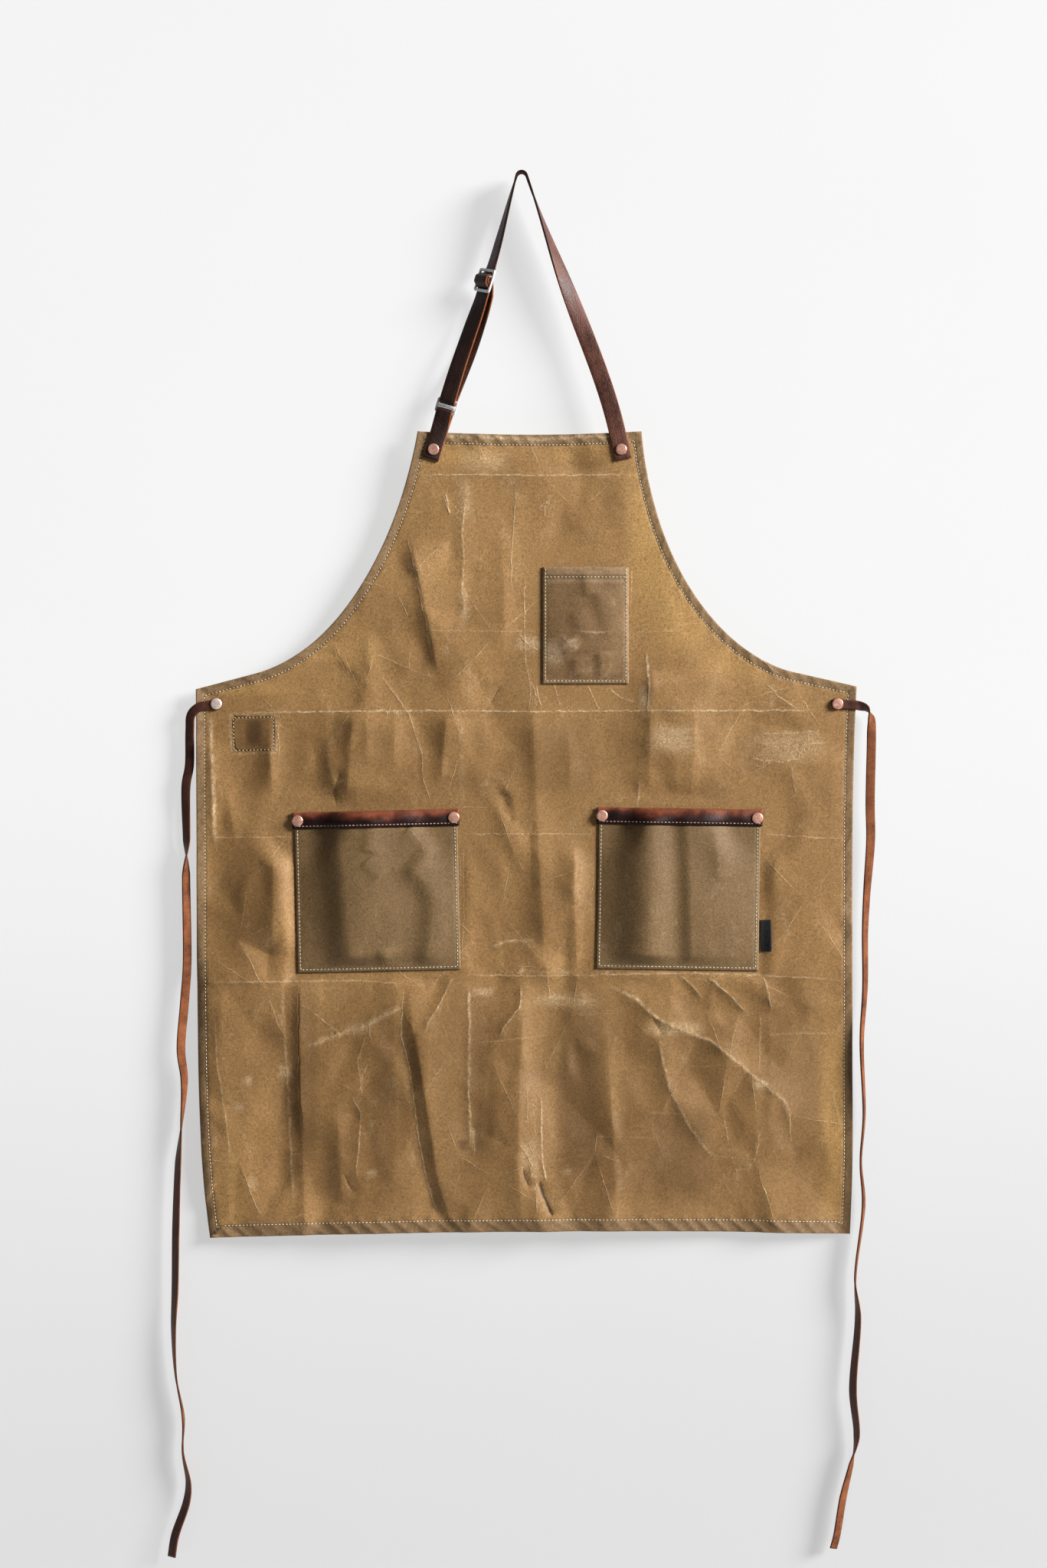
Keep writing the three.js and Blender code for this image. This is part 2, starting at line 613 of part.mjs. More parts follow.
// The long strap: right bib rivet, over the support, through the slider, round the ring and back up
function neckStrap() {
  const rightStations = evenly(RIGHT_LEG.length + STRAP_END, 0, STRAP_STEP);
  const liftEnd = RIGHT_LEG.length - STRAP_LIFT_END;
  const lifted = (at) => ON_BIB * THREE.MathUtils.smoothstep(at, RIGHT_LEG.length / 2, liftEnd);
  const rightPath = rightStations.map((at) => [at, lifted(at)]);
  const rightSections = legSections(RIGHT_LEG, rightPath);
  rightSections.forEach((section) => section.thickness.negate());

  const bendRadius = SUPPORT_RADIUS + LEATHER / 2;
  const bend = evenly(RIGHT_LEG.lean, Math.PI - LEFT_LEG.lean, Math.PI / BEND_STEPS).slice(1, -1);
  const bendSections = bend.map((angle) => {
    const thickness = new THREE.Vector3(Math.cos(angle), 0, Math.sin(angle));
    const place = thickness.clone().multiplyScalar(bendRadius).add(new THREE.Vector3(0, 0, -SUPPORT_RADIUS));
    return { place, width: new THREE.Vector3(0, -1, 0), thickness };
  });

  const slideTop = SLIDER.at - SLIDER.barSpacing - BAR_HEIGHT;
  const slideEnd = SLIDER.at + SLIDER.barSpacing + BAR_HEIGHT;
  const ringBar = RING.at - RING.barSpacing;
  const frontStations = [
    ...evenly(0, slideTop, STRAP_STEP),
    ...evenly(slideTop, slideEnd, SLIDER_STEP).slice(1),
    ...evenly(slideEnd, ringBar, STRAP_STEP).slice(1, -1),
  ];
  const leftPath = [
    ...frontStations.map((at) => [at, frontLayer(at)]),
    ...roundBar(ringBar, FOLD_RADIUS, 0, 180),
    ...evenly(ringBar, slideEnd, STRAP_STEP).slice(1).map((at) => {
      const share = (ringBar - at) / (ringBar - slideEnd);
      return [at, THREE.MathUtils.lerp(-FOLD_RADIUS, REAR_LAYER_AT_SLIDER, share)];
    }),
    [SLIDER.at + SLIDER.barSpacing / 2, (REAR_LAYER_AT_SLIDER - FOLD_RADIUS) / 2],
    ...roundBar(SLIDER.at, FOLD_RADIUS, 180, 180 + LOOP_END_ANGLE),
  ];
  const sections = [...rightSections, ...bendSections, ...legSections(LEFT_LEG, leftPath)];
  return piece('neck_strap', drilled(strip(sections), [BIB_RIVETS.right]), MATERIALS.leather);
}

// The short strap: folded round the ring's lower bar, one end before the bib and one behind
function strapTab() {
  const bar = RING.at + RING.barSpacing;
  const end = LEFT_LEG.length + STRAP_END;
  const settled = (at) => THREE.MathUtils.smoothstep(at, bar, bar + TAB_SETTLE);
  const settle = (at) => THREE.MathUtils.lerp(FOLD_RADIUS, ON_BIB, settled(at));
  const down = evenly(bar, end, STRAP_STEP).slice(1);
  const path = [
    ...[...down].reverse().map((at) => [at, settle(at)]),
    ...roundBar(bar, FOLD_RADIUS, 0, -180),
    ...down.map((at) => [at, -settle(at)]),
  ];
  const folded = strip(legSections(LEFT_LEG, path));
  return piece('strap_tab', drilled(folded, [BIB_RIVETS.left]), MATERIALS.leather);
}

function roundedBox(path, halfWidth, low, high, radius) {
  path.moveTo(-halfWidth + radius, low);
  path.lineTo(halfWidth - radius, low);
  path.absarc(halfWidth - radius, low + radius, radius, -Math.PI / 2, 0);
  path.lineTo(halfWidth, high - radius);
  path.absarc(halfWidth - radius, high - radius, radius, 0, Math.PI / 2);
  path.lineTo(-halfWidth + radius, high);
  path.absarc(-halfWidth + radius, high - radius, radius, Math.PI / 2, Math.PI);
  path.lineTo(-halfWidth, low + radius);
  path.absarc(-halfWidth + radius, low + radius, radius, Math.PI, 1.5 * Math.PI);
  return path;
}

// A flat frame with two windows, whose centre bar may stand proud of the front
function slide(name, { at, barSpacing, centreProud }) {
  const outerHalf = barSpacing + BAR_HEIGHT / 2;
  const windowHalf = SLIDE_WINDOW / 2;
  const windowLow = BAR_HEIGHT / 2;
  const windowHigh = barSpacing - BAR_HEIGHT / 2;
  const frame = roundedBox(new THREE.Shape(), windowHalf + SLIDE_SIDE, -outerHalf, outerHalf, SLIDE_CORNER);
  for (const [low, high] of [[windowLow, windowHigh], [-windowHigh, -windowLow]]) {
    const corners = [[-windowHalf, low], [windowHalf, low], [windowHalf, high], [-windowHalf, high]];
    frame.holes.push(new THREE.Path(corners.map(([x, y]) => new THREE.Vector2(x, y))));
  }
  const settings = { depth: BAR_DEPTH, bevelEnabled: false, curveSegments: CORNER_STEPS };
  const flat = new THREE.ExtrudeGeometry(frame, settings);
  flat.translate(0, 0, -BAR_DEPTH / 2);
  const barLength = SLIDE_WINDOW + SLIDE_SIDE;
  const centre = new THREE.BoxGeometry(barLength, BAR_HEIGHT, BAR_DEPTH + centreProud);
  centre.translate(0, 0, centreProud / 2);
  const { place, width, out } = LEFT_LEG.frame(at);
  const stand = new THREE.Matrix4().makeBasis(width, LEFT_LEG.down.clone().negate(), out).setPosition(place);
  flat.applyMatrix4(stand);
  centre.applyMatrix4(stand);
  return piece(name, solid(flat).add(solid(centre)), MATERIALS.steel);
}

// Width of a tie at a distance from its round end
function tieWidth(from) {
  const fromRivet = Math.abs(TIE_HEAD_RADIUS - from);
  const round = 2 * Math.sqrt(Math.max(0, TIE_HEAD_RADIUS ** 2 - fromRivet ** 2));
  return from < TIE_HEAD_RADIUS ? round : Math.max(round, TIE_WIDTH);
}

// A flat lace along its route, turning about its own length
function waistTie(name, route, rivetSpot) {
  const curve = new THREE.CatmullRomCurve3(route.map(({ x, y, z }) => new THREE.Vector3(x, y, z)));
  const length = curve.getLength();
  const alongs = [...TIE_HEAD_STATIONS, ...evenly(TIE_HEAD_STATIONS.at(-1), length, TIE_STEP).slice(1)];
  const spans = alongs.length - 1;
  const tube = new THREE.CylinderGeometry(1, 1, 1, TIE_SIDES, spans);
  const points = tube.attributes.position;
  const sections = alongs.map((along) => {
    const share = Math.min(along / length, 1);
    const knot = curve.getUtoTmapping(share) * (route.length - 1);
    const row = Math.min(Math.floor(knot), route.length - 2);
    const degrees = THREE.MathUtils.lerp(route[row].turn, route[row + 1].turn, knot - row);
    const turn = THREE.MathUtils.degToRad(degrees);
    const place = curve.getPointAt(share);
    const tangent = curve.getTangentAt(share);
    const flat = new THREE.Vector3(0, -1, 0).cross(tangent).normalize();
    const width = flat.applyAxisAngle(tangent, turn);
    return { place, width, thickness: tangent.clone().cross(width), half: tieWidth(along) / 2 };
  });
  const corner = new THREE.Vector3();
  for (let i = 0; i < points.count; i += 1) {
    const section = sections[Math.round((0.5 - points.getY(i)) * spans)];
    corner.copy(section.place);
    corner.addScaledVector(section.width, points.getX(i) * section.half);
    corner.addScaledVector(section.thickness, (points.getZ(i) * TIE_THICKNESS) / 2);
    points.setXYZ(i, corner.x, corner.y, corner.z);
  }
  return piece(name, drilled(solid(tube), [rivetSpot]), MATERIALS.lace);
}

// Heights of the layers under each rivet's head and over its washer
const behindCanvas = -CANVAS - GAP;
const overTrim = GAP + CANVAS + GAP + TRIM_THICKNESS + 2 * GAP;
const overTie = GAP + TIE_THICKNESS + 2 * GAP;
const overStrap = ON_BIB + LEATHER / 2 - HEM_THICKNESS / 2 + GAP;
const behindTab = -ON_BIB - LEATHER / 2 - HEM_THICKNESS / 2 - GAP;

const apron = new THREE.Group();
apron.add(
  bodyPanel(),
  pocket('chest_pocket', POCKETS.chest, []),
  pocket('left_pocket', POCKETS.left, trimRivets(POCKETS.left)),
  pocket('right_pocket', POCKETS.right, trimRivets(POCKETS.right)),
  pocketTrim('left_pocket_trim', POCKETS.left),
  pocketTrim('right_pocket_trim', POCKETS.right),
  cornerPatch(),
  pocketLabel(),
  neckStrap(),
  strapTab(),
  slide('strap_slider', SLIDER),
  slide('strap_ring', RING),
  waistTie('waist_tie_left', TIES.left, WAIST_RIVETS.left),
  waistTie('waist_tie_right', TIES.right, WAIST_RIVETS.right),
  rivet('bib_rivet_left', BIB_RIVETS.left, overStrap, behindTab),
  rivet('bib_rivet_right', BIB_RIVETS.right, overStrap, behindCanvas),
  rivet('waist_rivet_left', WAIST_RIVETS.left, overTie, behindCanvas),
  rivet('waist_rivet_right', WAIST_RIVETS.right, overTie, behindCanvas),
);
for (const side of ['left', 'right']) {
  trimRivets(POCKETS[side]).forEach((spot, i) => {
    apron.add(rivet(`${side}_pocket_rivet_${i + 1}`, spot, overTrim, behindCanvas));
  });
}

export default apron;
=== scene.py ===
# A waxed canvas work apron hanging by its leather neck strap, dressed over its CAD frame.
# Tables are in millimetres, with (x, z) places on the panel. The scene is in metres and its front faces -Y.
import math
from collections import namedtuple

import bmesh
import bpy
import numpy as np
from mathutils import Matrix, Quaternion, Vector, noise
from mathutils.bvhtree import BVHTree
from mathutils.geometry import delaunay_2d_cdt
from mathutils.kdtree import KDTree


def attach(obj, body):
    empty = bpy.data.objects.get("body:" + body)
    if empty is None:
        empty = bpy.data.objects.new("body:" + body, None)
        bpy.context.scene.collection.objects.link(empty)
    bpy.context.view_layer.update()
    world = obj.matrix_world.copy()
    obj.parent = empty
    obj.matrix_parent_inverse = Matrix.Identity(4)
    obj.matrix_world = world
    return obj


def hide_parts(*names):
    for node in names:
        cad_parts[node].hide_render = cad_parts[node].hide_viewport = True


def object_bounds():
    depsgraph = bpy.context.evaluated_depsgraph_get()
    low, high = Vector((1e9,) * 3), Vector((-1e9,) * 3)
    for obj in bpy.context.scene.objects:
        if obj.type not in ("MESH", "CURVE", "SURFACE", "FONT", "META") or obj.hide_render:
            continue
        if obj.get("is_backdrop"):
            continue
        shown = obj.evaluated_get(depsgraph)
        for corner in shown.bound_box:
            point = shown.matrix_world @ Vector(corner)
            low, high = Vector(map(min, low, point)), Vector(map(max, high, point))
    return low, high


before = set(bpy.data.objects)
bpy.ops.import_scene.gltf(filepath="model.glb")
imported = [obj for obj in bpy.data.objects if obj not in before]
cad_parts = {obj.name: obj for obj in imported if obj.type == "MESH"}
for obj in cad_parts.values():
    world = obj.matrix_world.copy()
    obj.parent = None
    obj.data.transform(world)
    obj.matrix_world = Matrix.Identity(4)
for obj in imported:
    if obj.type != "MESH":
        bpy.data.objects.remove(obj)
cad_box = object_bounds()
MM = 0.001
BODY = "root"
FRONT = Vector((0, -1, 0))

# The photograph's frame: its size in pixels, millimetres to a pixel on the panel, and the origin's pixel
PHOTO_SIZE = (1367, 2048)
PHOTO_SCALE = 0.82
PHOTO_ORIGIN = (681, 226)
LENS = 85
SENSOR = 36

# Cloth and leather
GAP = 0.3
CANVAS = 1.0
CLOTH = 0.8
HEM_THICKNESS = 2.4
LEATHER = 2.2

# Corners and curve handles of each side edge
SIDES = {
    "left": {
        "bib": (-111, -277),
        "armhole_high": (-130, -385),
        "armhole_low": (-188, -509),
        "shoulder": (-284, -536),
        "waist": (-349, -553),
        "hip": (-346, -800),
        "thigh": (-353, -1020),
        "hem": (-334, -1141),
    },
    "right": {
        "bib": (128, -277),
        "armhole_high": (142, -437),
        "armhole_low": (228, -524),
        "shoulder": (297, -536),
        "waist": (359, -550),
        "hip": (348, -760),
        "thigh": (360, -1000),
        "hem": (352, -1137),
    },
}
BIB_EDGE_HANDLE = (8, -284)
HEM_EDGE_HANDLE = (0, -1127)
EDGE_PITCH = 3.0
CLOTH_PITCH = 5.2

# Pockets and other sewn rectangles: centre, size, tilt in degrees and how far a mouth stands open
Box = namedtuple("Box", "x z width height tilt mouth", defaults=(0,))
POCKETS = {
    "left": Box(-154.5, -769, 175, 172, 1.3, 10),
    "right": Box(168, -767, 174, 173, -0.9, 10),
    "chest": Box(68.4, -484.7, 92.5, 125, 0, 7),
}
TRIM_HEIGHT = 18
TRIM_OVERHANG = 2
TRIM_RIVET_INSET = 5.8
PATCH = Box(-287.5, -600.5, 50, 42, 1.5)
LABEL = Box(261.6, -817, 11.4, 34, 1)

# Drape of the canvas, towards the front
SIDE_CURL = 9
HALF_WIDTH = 355
FOLD_FADE = 0.18
Fold = namedtuple("Fold", "rise left right crest")
FOLDS = [
    Fold(3.8, 10, 42, [(-121, -380), (-98, -488), (-89, -538)]),
    Fold(6, 45, 22, [(-271, -573), (-266, -708), (-266, -860)]),
    Fold(5, 16, 55, [(-180, -573), (-187, -670)]),
    Fold(5, 18, 40, [(-79, -573), (-88, -670)]),
    Fold(6, 28, 45, [(11, -553), (16, -684), (26, -860)]),
    Fold(5, 20, 70, [(140, -526), (136, -670)]),
    Fold(1.2, 12, 70, [(-322, -872), (-319, -995), (-310, -1180)]),
    Fold(4, 16, 32, [(-237, -868), (-236, -991), (-230, -1190)]),
    Fold(3, 8, 55, [
        (-121, -868), (-117, -915), (-107, -962), (-98, -1018), (-90, -1075), (-77, -1121), (-60, -1190),
    ]),
    Fold(4, 45, 30, [(-7, -872), (7, -979), (26, -1190)]),
    Fold(2.2, 22, 34, [(88, -869), (143, -904), (216, -940), (287, -1027)]),
    Fold(1.7, 16, 38, [(139, -904), (151, -967), (214, -1063)]),
]
# Softer folds of the cloth between the pressed ones
SOFT_FOLD_FADE = 0.4
SOFT_FOLDS = [
    Fold(2.5, 15, 20, [(-165, -490), (-163, -545)]),
    Fold(3.4, 18, 24, [(-213, -575), (-207, -629), (-198, -660), (-186, -684)]),
    Fold(2.4, 14, 20, [(-167, -570), (-165, -640)]),
    Fold(3, 26, 18, [(-134, -566), (-138, -660)]),
    Fold(2.4, 22, 16, [(-272, -596), (-266, -672)]),
    Fold(2, 14, 14, [(-318, -645), (-307, -720)]),
    Fold(4, 40, 25, [(50, -584), (54, -684)]),
    Fold(6, 34, 14, [(57, -680), (56, -770), (60, -868)]),
    Fold(5, 8, 60, [(-61, -680), (-60, -770), (-62, -868)]),
    Fold(8, 45, 9, [(-249, -680), (-250, -770), (-250, -868)]),
    Fold(2, 10, 14, [(-333, -560), (-331, -650), (-331, -724)]),
    Fold(7, 95, 58, [(-116, -830), (-108, -963), (-96, -1045), (-76, -1180)]),
    Fold(4, 20, 34, [(-198, -985), (-195, -1050), (-190, -1120)]),
    Fold(6, 55, 18, [(8, -830), (-2, -960), (-4, -1060), (4, -1190)]),
    Fold(6, 55, 25, [(90, -890), (98, -1040), (106, -1190)]),
    Fold(3.4, 40, 34, [(262, -860), (268, -960), (262, -1080)]),
    Fold(3, 14, 30, [(-24, -370), (-18, -450), (-20, -540)]),
    Fold(3, 30, 12, [(182, -540), (186, -610), (180, -680)]),
]
# Section of a sharp crest: how steeply its flanks fall and how round its top is
CREST_FALL = 1.25
CREST_ROUND = 0.05
# Dents in the waxed cloth: spacing of the corners of its flat facets, their height and a seed
FACET_ENDS = ((-440, -1240), (450, -190))
FACETS = ((96, 3.6, 3), (46, 2.0, 5), (23, 0.95, 8))
FACET_STRETCH = 1.25
FACET_SCATTER = 0.45
BEHIND_FACETS = 100
DENT_LIMIT = 6
# Share of the dents on the bib, what the skirt has more, and the heights between which it is added
BIB_DENTS = 0.7
SKIRT_DENTS = 0.4
DENTS_GROW = (480, 900)
# Facets that meet outwards at more than this show a fine pale line, which grows with their bend
RIDGE_ANGLE = 0.09
FINE_BLOOM = 2.4
FINE_BLOOM_LIMIT = 0.6
FINE_WIDTH = 0.6
FINE_FADE = 0.5
UPRIGHT_SLOPE = 1.7
LEVEL_SLOPE = 0.6
# Facets that meet at more than this break sharply; the cloth's points follow such lines and every crest,
# where the cloth is at least this free of pockets and rivets
BREAK_ANGLE = 0.06
CREST_FREE = 0.02
CREST_PITCH = 3.8
CREST_HALF_WIDTH = 0.8
CREST_CLEARANCE = 0.4
ROW_SPACING = 0.866
CALM_NEAR_RIVET = (30, 58)
CALM_AT_POCKET = (0.92, 1.12)
CALM_BESIDE_POCKET = {"left": 18, "right": 18, "chest": 60}
POCKET_HELD_NEAR_RIVET = (28, 60)
POCKET_OPENS = (-1, -0.2)
POCKET_ROUNDNESS = 0.7

# Creases worn into the wax: rise and flanks as for folds, bloom of the pale line and its half width.
# A negative bloom paints a dark line of shade into the crevice. Beside a line its weight falls between hold
# and reach.
CREASE_FADE = 0.12
CREASE_HOLD = 5
CREASE_REACH = 9
FAMILIES = ("level", "upright", "slant")
Crease = namedtuple("Crease", "family rise left right bloom width line fade", defaults=(CREASE_FADE,))
CREASES = [
    Crease("level", 0.7, 5, 9, 0.55, 1.2, [(-111, -324), (-66, -323), (16, -324), (130, -323)]),
    Crease("level", 0.3, 5, 5, 0.2, 1.2, [(-106, -490), (-34, -491), (16, -491)]),
    Crease("level", 0.3, 5, 5, 0.2, 1.2, [(121, -492), (171, -491)]),
    Crease("level", 1.1, 6, 9, 0.6, 1.5, [
        (-312, -578), (-214, -577), (-99, -576), (16, -577), (139, -576), (262, -576),
        (323, -575),
    ]),
    Crease("level", 0.6, 5, 7, 0.35, 1.2, [(-339, -712), (-246, -711)]),
    Crease("level", 0.6, 5, 7, 0.35, 1.2, [(-63, -708), (16, -708), (79, -708)]),
    Crease("level", 0.6, 5, 7, 0.35, 1.2, [(258, -709), (352, -713)]),
    Crease("level", 1.3, 5, 9, 0.45, 1.4, [(-344, -867), (-246, -866), (-181, -865), (-126, -868)]),
    Crease("level", 1.2, 5, 9, 0.45, 1.4, [
        (-75, -859), (16, -860), (81, -859), (171, -857), (253, -859), (348, -865),
    ]),
    Crease("level", 0.3, 5, 5, 0.3, 1.5, [(259, -923), (342, -922)]),
    Crease("level", 0.3, 5, 5, 0.25, 1.5, [(-50, -932), (32, -923)]),
    Crease("level", 0.3, 4, 4, 0.25, 1.2, [(134, -1006), (174, -1008)]),
    Crease("level", 0.3, 4, 4, 0.2, 1.2, [(77, -1032), (148, -1034)]),
    Crease("upright", 0.8, 8, 8, 0.36, 2.2, [
        (-58, -326), (-64, -381), (-62, -412), (-64, -446), (-60, -475),
    ]),
    Crease("upright", 0.4, 4, 4, 0.45, 1.2, [(-82, -340), (-79, -356), (-76, -368)]),
    Crease("upright", 0.8, 4, 5, 0.45, 1.4, [(15, -548), (17, -560), (22, -572)]),
    Crease("upright", 0.8, 4, 5, 0.4, 1.2, [(34, -545), (37, -556), (42, -572)]),
    Crease("upright", 0.7, 4, 5, 0.4, 1.2, [(70, -548), (76, -560), (84, -576)]),
    Crease("slant", 0.7, 4, 5, 0.45, 1.4, [(94, -552), (106, -562), (122, -567)]),
    Crease("slant", 0.3, 4, 4, 0.24, 1, [(-164, -512), (-128, -528), (-94, -541)]),
    Crease("slant", 0.8, 4, 5, -0.4, 1.2, [(-203, -504), (-196, -518), (-186, -534)]),
    Crease("upright", 0.6, 4, 9, 0.35, 1, [(-6, -337), (-8, -375), (-11, -408), (-11, -446)]),
    Crease("upright", 0.7, 4, 8, 0.4, 1, [(3, -425), (3, -487), (4, -519), (10, -554), (6, -580)]),
    Crease("upright", 1.2, 5, 8, 0.6, 2, [(133, -511), (136, -550), (134, -580)]),
    Crease("upright", 0.9, 6, 6, 0.5, 3.5, [(-334, -574), (-331, -654), (-330, -724)]),
    Crease("upright", 0.3, 8, 8, 0.15, 5, [(-66, -581), (-63, -679)]),
    Crease("upright", 0.3, 4, 4, 0.25, 1, [(-63, -708), (-62, -782), (-64, -850)]),
    Crease("upright", 0.6, 10, 6, 0.34, 2.5, [(-257, -864), (-254, -930), (-250, -990), (-244, -1118)]),
    Crease("level", 0, 1, 1, 0.4, 3, [(-100, -281), (8, -285), (118, -281)]),
    Crease("level", 0.3, 5, 5, 0.42, 1.8, [(256, -601), (288, -600), (326, -598)]),
    Crease("level", 0.3, 5, 5, 0.4, 2, [(250, -611), (283, -615), (305, -611), (330, -610)]),
    Crease("level", 0.3, 5, 5, 0.42, 2, [(244, -627), (262, -629), (281, -631), (294, -628), (303, -624)]),
    Crease("slant", 0.3, 5, 5, 0.45, 1.2, [(262, -546), (276, -562), (296, -574)]),
    Crease("upright", 1.0, 3, 8, -1.0, 1.2, [(-238, -864), (-239, -922), (-238, -988), (-234, -1030)]),
    Crease("upright", -1.0, 4, 4, 0.55, 1.3, [
        (-126, -868), (-128, -892), (-129, -925), (-121, -953), (-116, -988), (-110, -1035),
        (-102, -1078), (-93, -1105), (-82, -1122),
    ]),
    Crease("upright", 0.8, 12, 5, 0.5, 2.4, [(-57, -864), (-56, -920), (-57, -980), (-54, -1048)]),
    Crease("upright", 0.3, 5, 5, 0.26, 1.8, [(-330, -905), (-326, -960), (-318, -1010), (-312, -1060)]),
    Crease("upright", 0.5, 4, 4, 0.45, 1.4, [(-51, -1022), (-51, -1052)]),
    Crease("slant", 0.5, 5, 5, 0.35, 1, [(-226, -898), (-204, -914), (-188, -926)]),
    Crease("upright", 0.4, 5, 5, 0.3, 1.2, [(-168, -925), (-176, -950), (-170, -990)]),
    Crease("upright", 0.5, 5, 5, 0.4, 1.4, [(256, -1026), (252, -1046), (248, -1062)]),
    Crease("upright", 0.4, 4, 4, 0.4, 1.2, [(286, -1000), (289, -1040)]),
    Crease("upright", 0.4, 4, 4, 0.35, 0.8, [(5, -973), (7, -1021)]),
    Crease("upright", 0.8, 4, 4, 0.6, 1.6, [(21, -984), (21, -1052), (26, -1081)]),
    Crease("slant", 1.0, 4, 4, 0.55, 1.6, [(-2, -1039), (5, -1050), (11, -1061), (9, -1077)]),
    Crease("upright", -2.4, 5, 5, -1.3, 3, [(18, -1077), (25, -1098), (33, -1118)]),
    Crease("slant", -1.4, 4, 4, -1.0, 2, [(1, -1064), (4, -1075), (8, -1086)]),
    Crease("slant", 0.6, 3, 3, 0.45, 1.2, [(14, -1062), (16, -1086), (16, -1114)]),
    Crease("slant", -1.0, 4, 4, -0.7, 1.6, [(-190, -1070), (-186, -1081), (-181, -1090), (-174, -1087)]),
    Crease("upright", 0.8, 5, 5, 0.52, 1.5, [(-183, -988), (-172, -1006), (-174, -1035), (-177, -1078)]),
    Crease("upright", 0.3, 5, 5, 0.25, 1.5, [(256, -899), (254, -967)]),
    Crease("upright", 0.3, 5, 5, 0.2, 1.5, [(332, -982), (344, -1027)]),
    Crease("upright", 0.3, 5, 5, 0.25, 1.2, [(60, -737), (56, -770)]),
    Crease("upright", 1.0, 4, 5, 0.35, 2, [(126, -652), (123, -679)]),
    Crease("upright", 0.4, 5, 5, 0.2, 1.2, [(216, -1004), (221, -1040)]),
    Crease("upright", 0.4, 5, 5, 0.25, 1.2, [(-261, -586), (-260, -629)]),
    Crease("upright", 0.4, 5, 5, 0.25, 1.2, [(118, -421), (117, -467)]),
    Crease("slant", 0.8, 5, 7, 0.35, 1, [
        (-156, -531), (-121, -579), (-106, -624), (-106, -649), (-96, -679),
    ]),
    Crease("slant", -2.2, 5, 6, -0.5, 2.5, [(-194, -640), (-201, -664), (-198, -679)]),
    Crease("slant", 0.8, 6, 6, 0.6, 4, [
        (-238, -938), (-194, -922), (-174, -916), (-148, -903), (-128, -893),
    ]),
    Crease("slant", 1.4, 4, 5, 0.45, 1.3, [(-73, -859), (-89, -892), (-104, -916)]),
    Crease("slant", 1.2, 4, 5, 0.5, 1.5, [(-1, -870), (-1, -892), (-18, -912), (-24, -925)]),
    Crease("slant", 1.4, 6, 10, 0.56, 3, [
        (88, -869), (121, -884), (146, -907), (166, -917), (201, -929), (224, -947),
        (254, -972), (282, -995), (288, -1027),
    ]),
    Crease("slant", 1.6, 4, 5, 0.45, 2, [(200, -862), (221, -879), (241, -899)]),
    Crease("slant", 1.4, 4, 5, 0.45, 2, [(169, -859), (182, -870), (194, -884)]),
    Crease("slant", 1.0, 4, 5, 0.4, 1.5, [(259, -859), (269, -899)]),
    Crease("slant", -1.2, 4, 4, -0.4, 1.5, [(139, -904), (151, -924)]),
    Crease("slant", 1.1, 6, 12, 0.4, 3, [(146, -920), (151, -952), (159, -982), (176, -1017), (212, -1066)]),
    Crease("slant", 1.2, 4, 4, 0.5, 1.5, [(-4, -492), (6, -504), (19, -512)]),
    Crease("slant", 0.8, 4, 4, 0.5, 1.5, [(6, -504), (17, -496)]),
    Crease("slant", 0.4, 4, 4, 0.4, 1, [(17, -360), (25, -353), (24, -370)]),
    Crease("slant", -1.2, 4, 4, -0.5, 1, [(-23, -550), (-34, -569)]),
    Crease("slant", 0.4, 4, 4, 0.35, 1, [(-84, -345), (-77, -366)]),
    Crease("slant", 0.5, 5, 5, 0.4, 2.5, [(-33, -830), (-18, -823), (15, -822)]),
    Crease("slant", 0.4, 4, 4, 0.3, 1.2, [(-124, -383), (-111, -442), (-102, -487), (-94, -532)]),
    Crease("slant", 0.4, 4, 4, 0.4, 1, [(-196, -974), (-183, -980)]),
    Crease("slant", 0.4, 4, 4, 0.2, 1.2, [(288, -634), (294, -664)]),
]

# Marked places: centre, half size and how much, of pale scuffs, of painted glow where light shows through the
# thin cloth and of painted shade.
# A place fades out between these shares of its half size.
SPOT_FADE = (0.4, 1.35)
Spot = namedtuple("Spot", "x z half_width half_height amount")
SCUFFS = [
    Spot(162, -606, 24, 15, 0.52),
    Spot(283, -615, 40, 17, 0.3),
    Spot(48, -886, 34, 7, 0.5),
    Spot(-41, -877, 11, 4, 0.5),
    Spot(-60, -350, 6, 22, 0.36),
    Spot(-40, -308, 28, 12, 0.26),
    Spot(-61, -462, 4, 16, 0.44),
    Spot(257, -976, 8, 6, 0.9),
    Spot(-174, -916, 12, 5, 0.6),
    Spot(-253, -962, 6, 7, 0.9),
    Spot(-293, -972, 5, 5, 0.5),
    Spot(-303, -1001, 7, 5, 0.4),
    Spot(-289, -1082, 5, 7, 0.45),
    Spot(-160, -1071, 6, 5, 0.5),
    Spot(49, -1069, 5, 4, 0.6),
    Spot(8, -1052, 10, 18, 0.36),
    Spot(132, -565, 6, 16, 0.6),
    Spot(8, -504, 12, 7, 0.6),
    Spot(165, -917, 30, 7, 0.6),
    Spot(34, -514, 10, 14, 0.5),
    Spot(52, -505, 9, 7, 0.5),
]
# Painted glow: places where light shining through the thin cloth is painted into its colour
PAINTED_GLOW_SPOTS = [
    Spot(150, -390, 34, 95, 0.8),
    Spot(172, -470, 40, 45, 0.6),
    Spot(235, -522, 55, 18, 0.5),
    Spot(-63, -303, 45, 10, 0.45),
    Spot(70, -300, 40, 10, 0.4),
    Spot(-292, -552, 40, 8, 0.5),
    Spot(-190, -512, 40, 12, 0.3),
    Spot(336, -1015, 14, 110, 0.7),
    Spot(-312, -1095, 25, 40, 0.3),
]
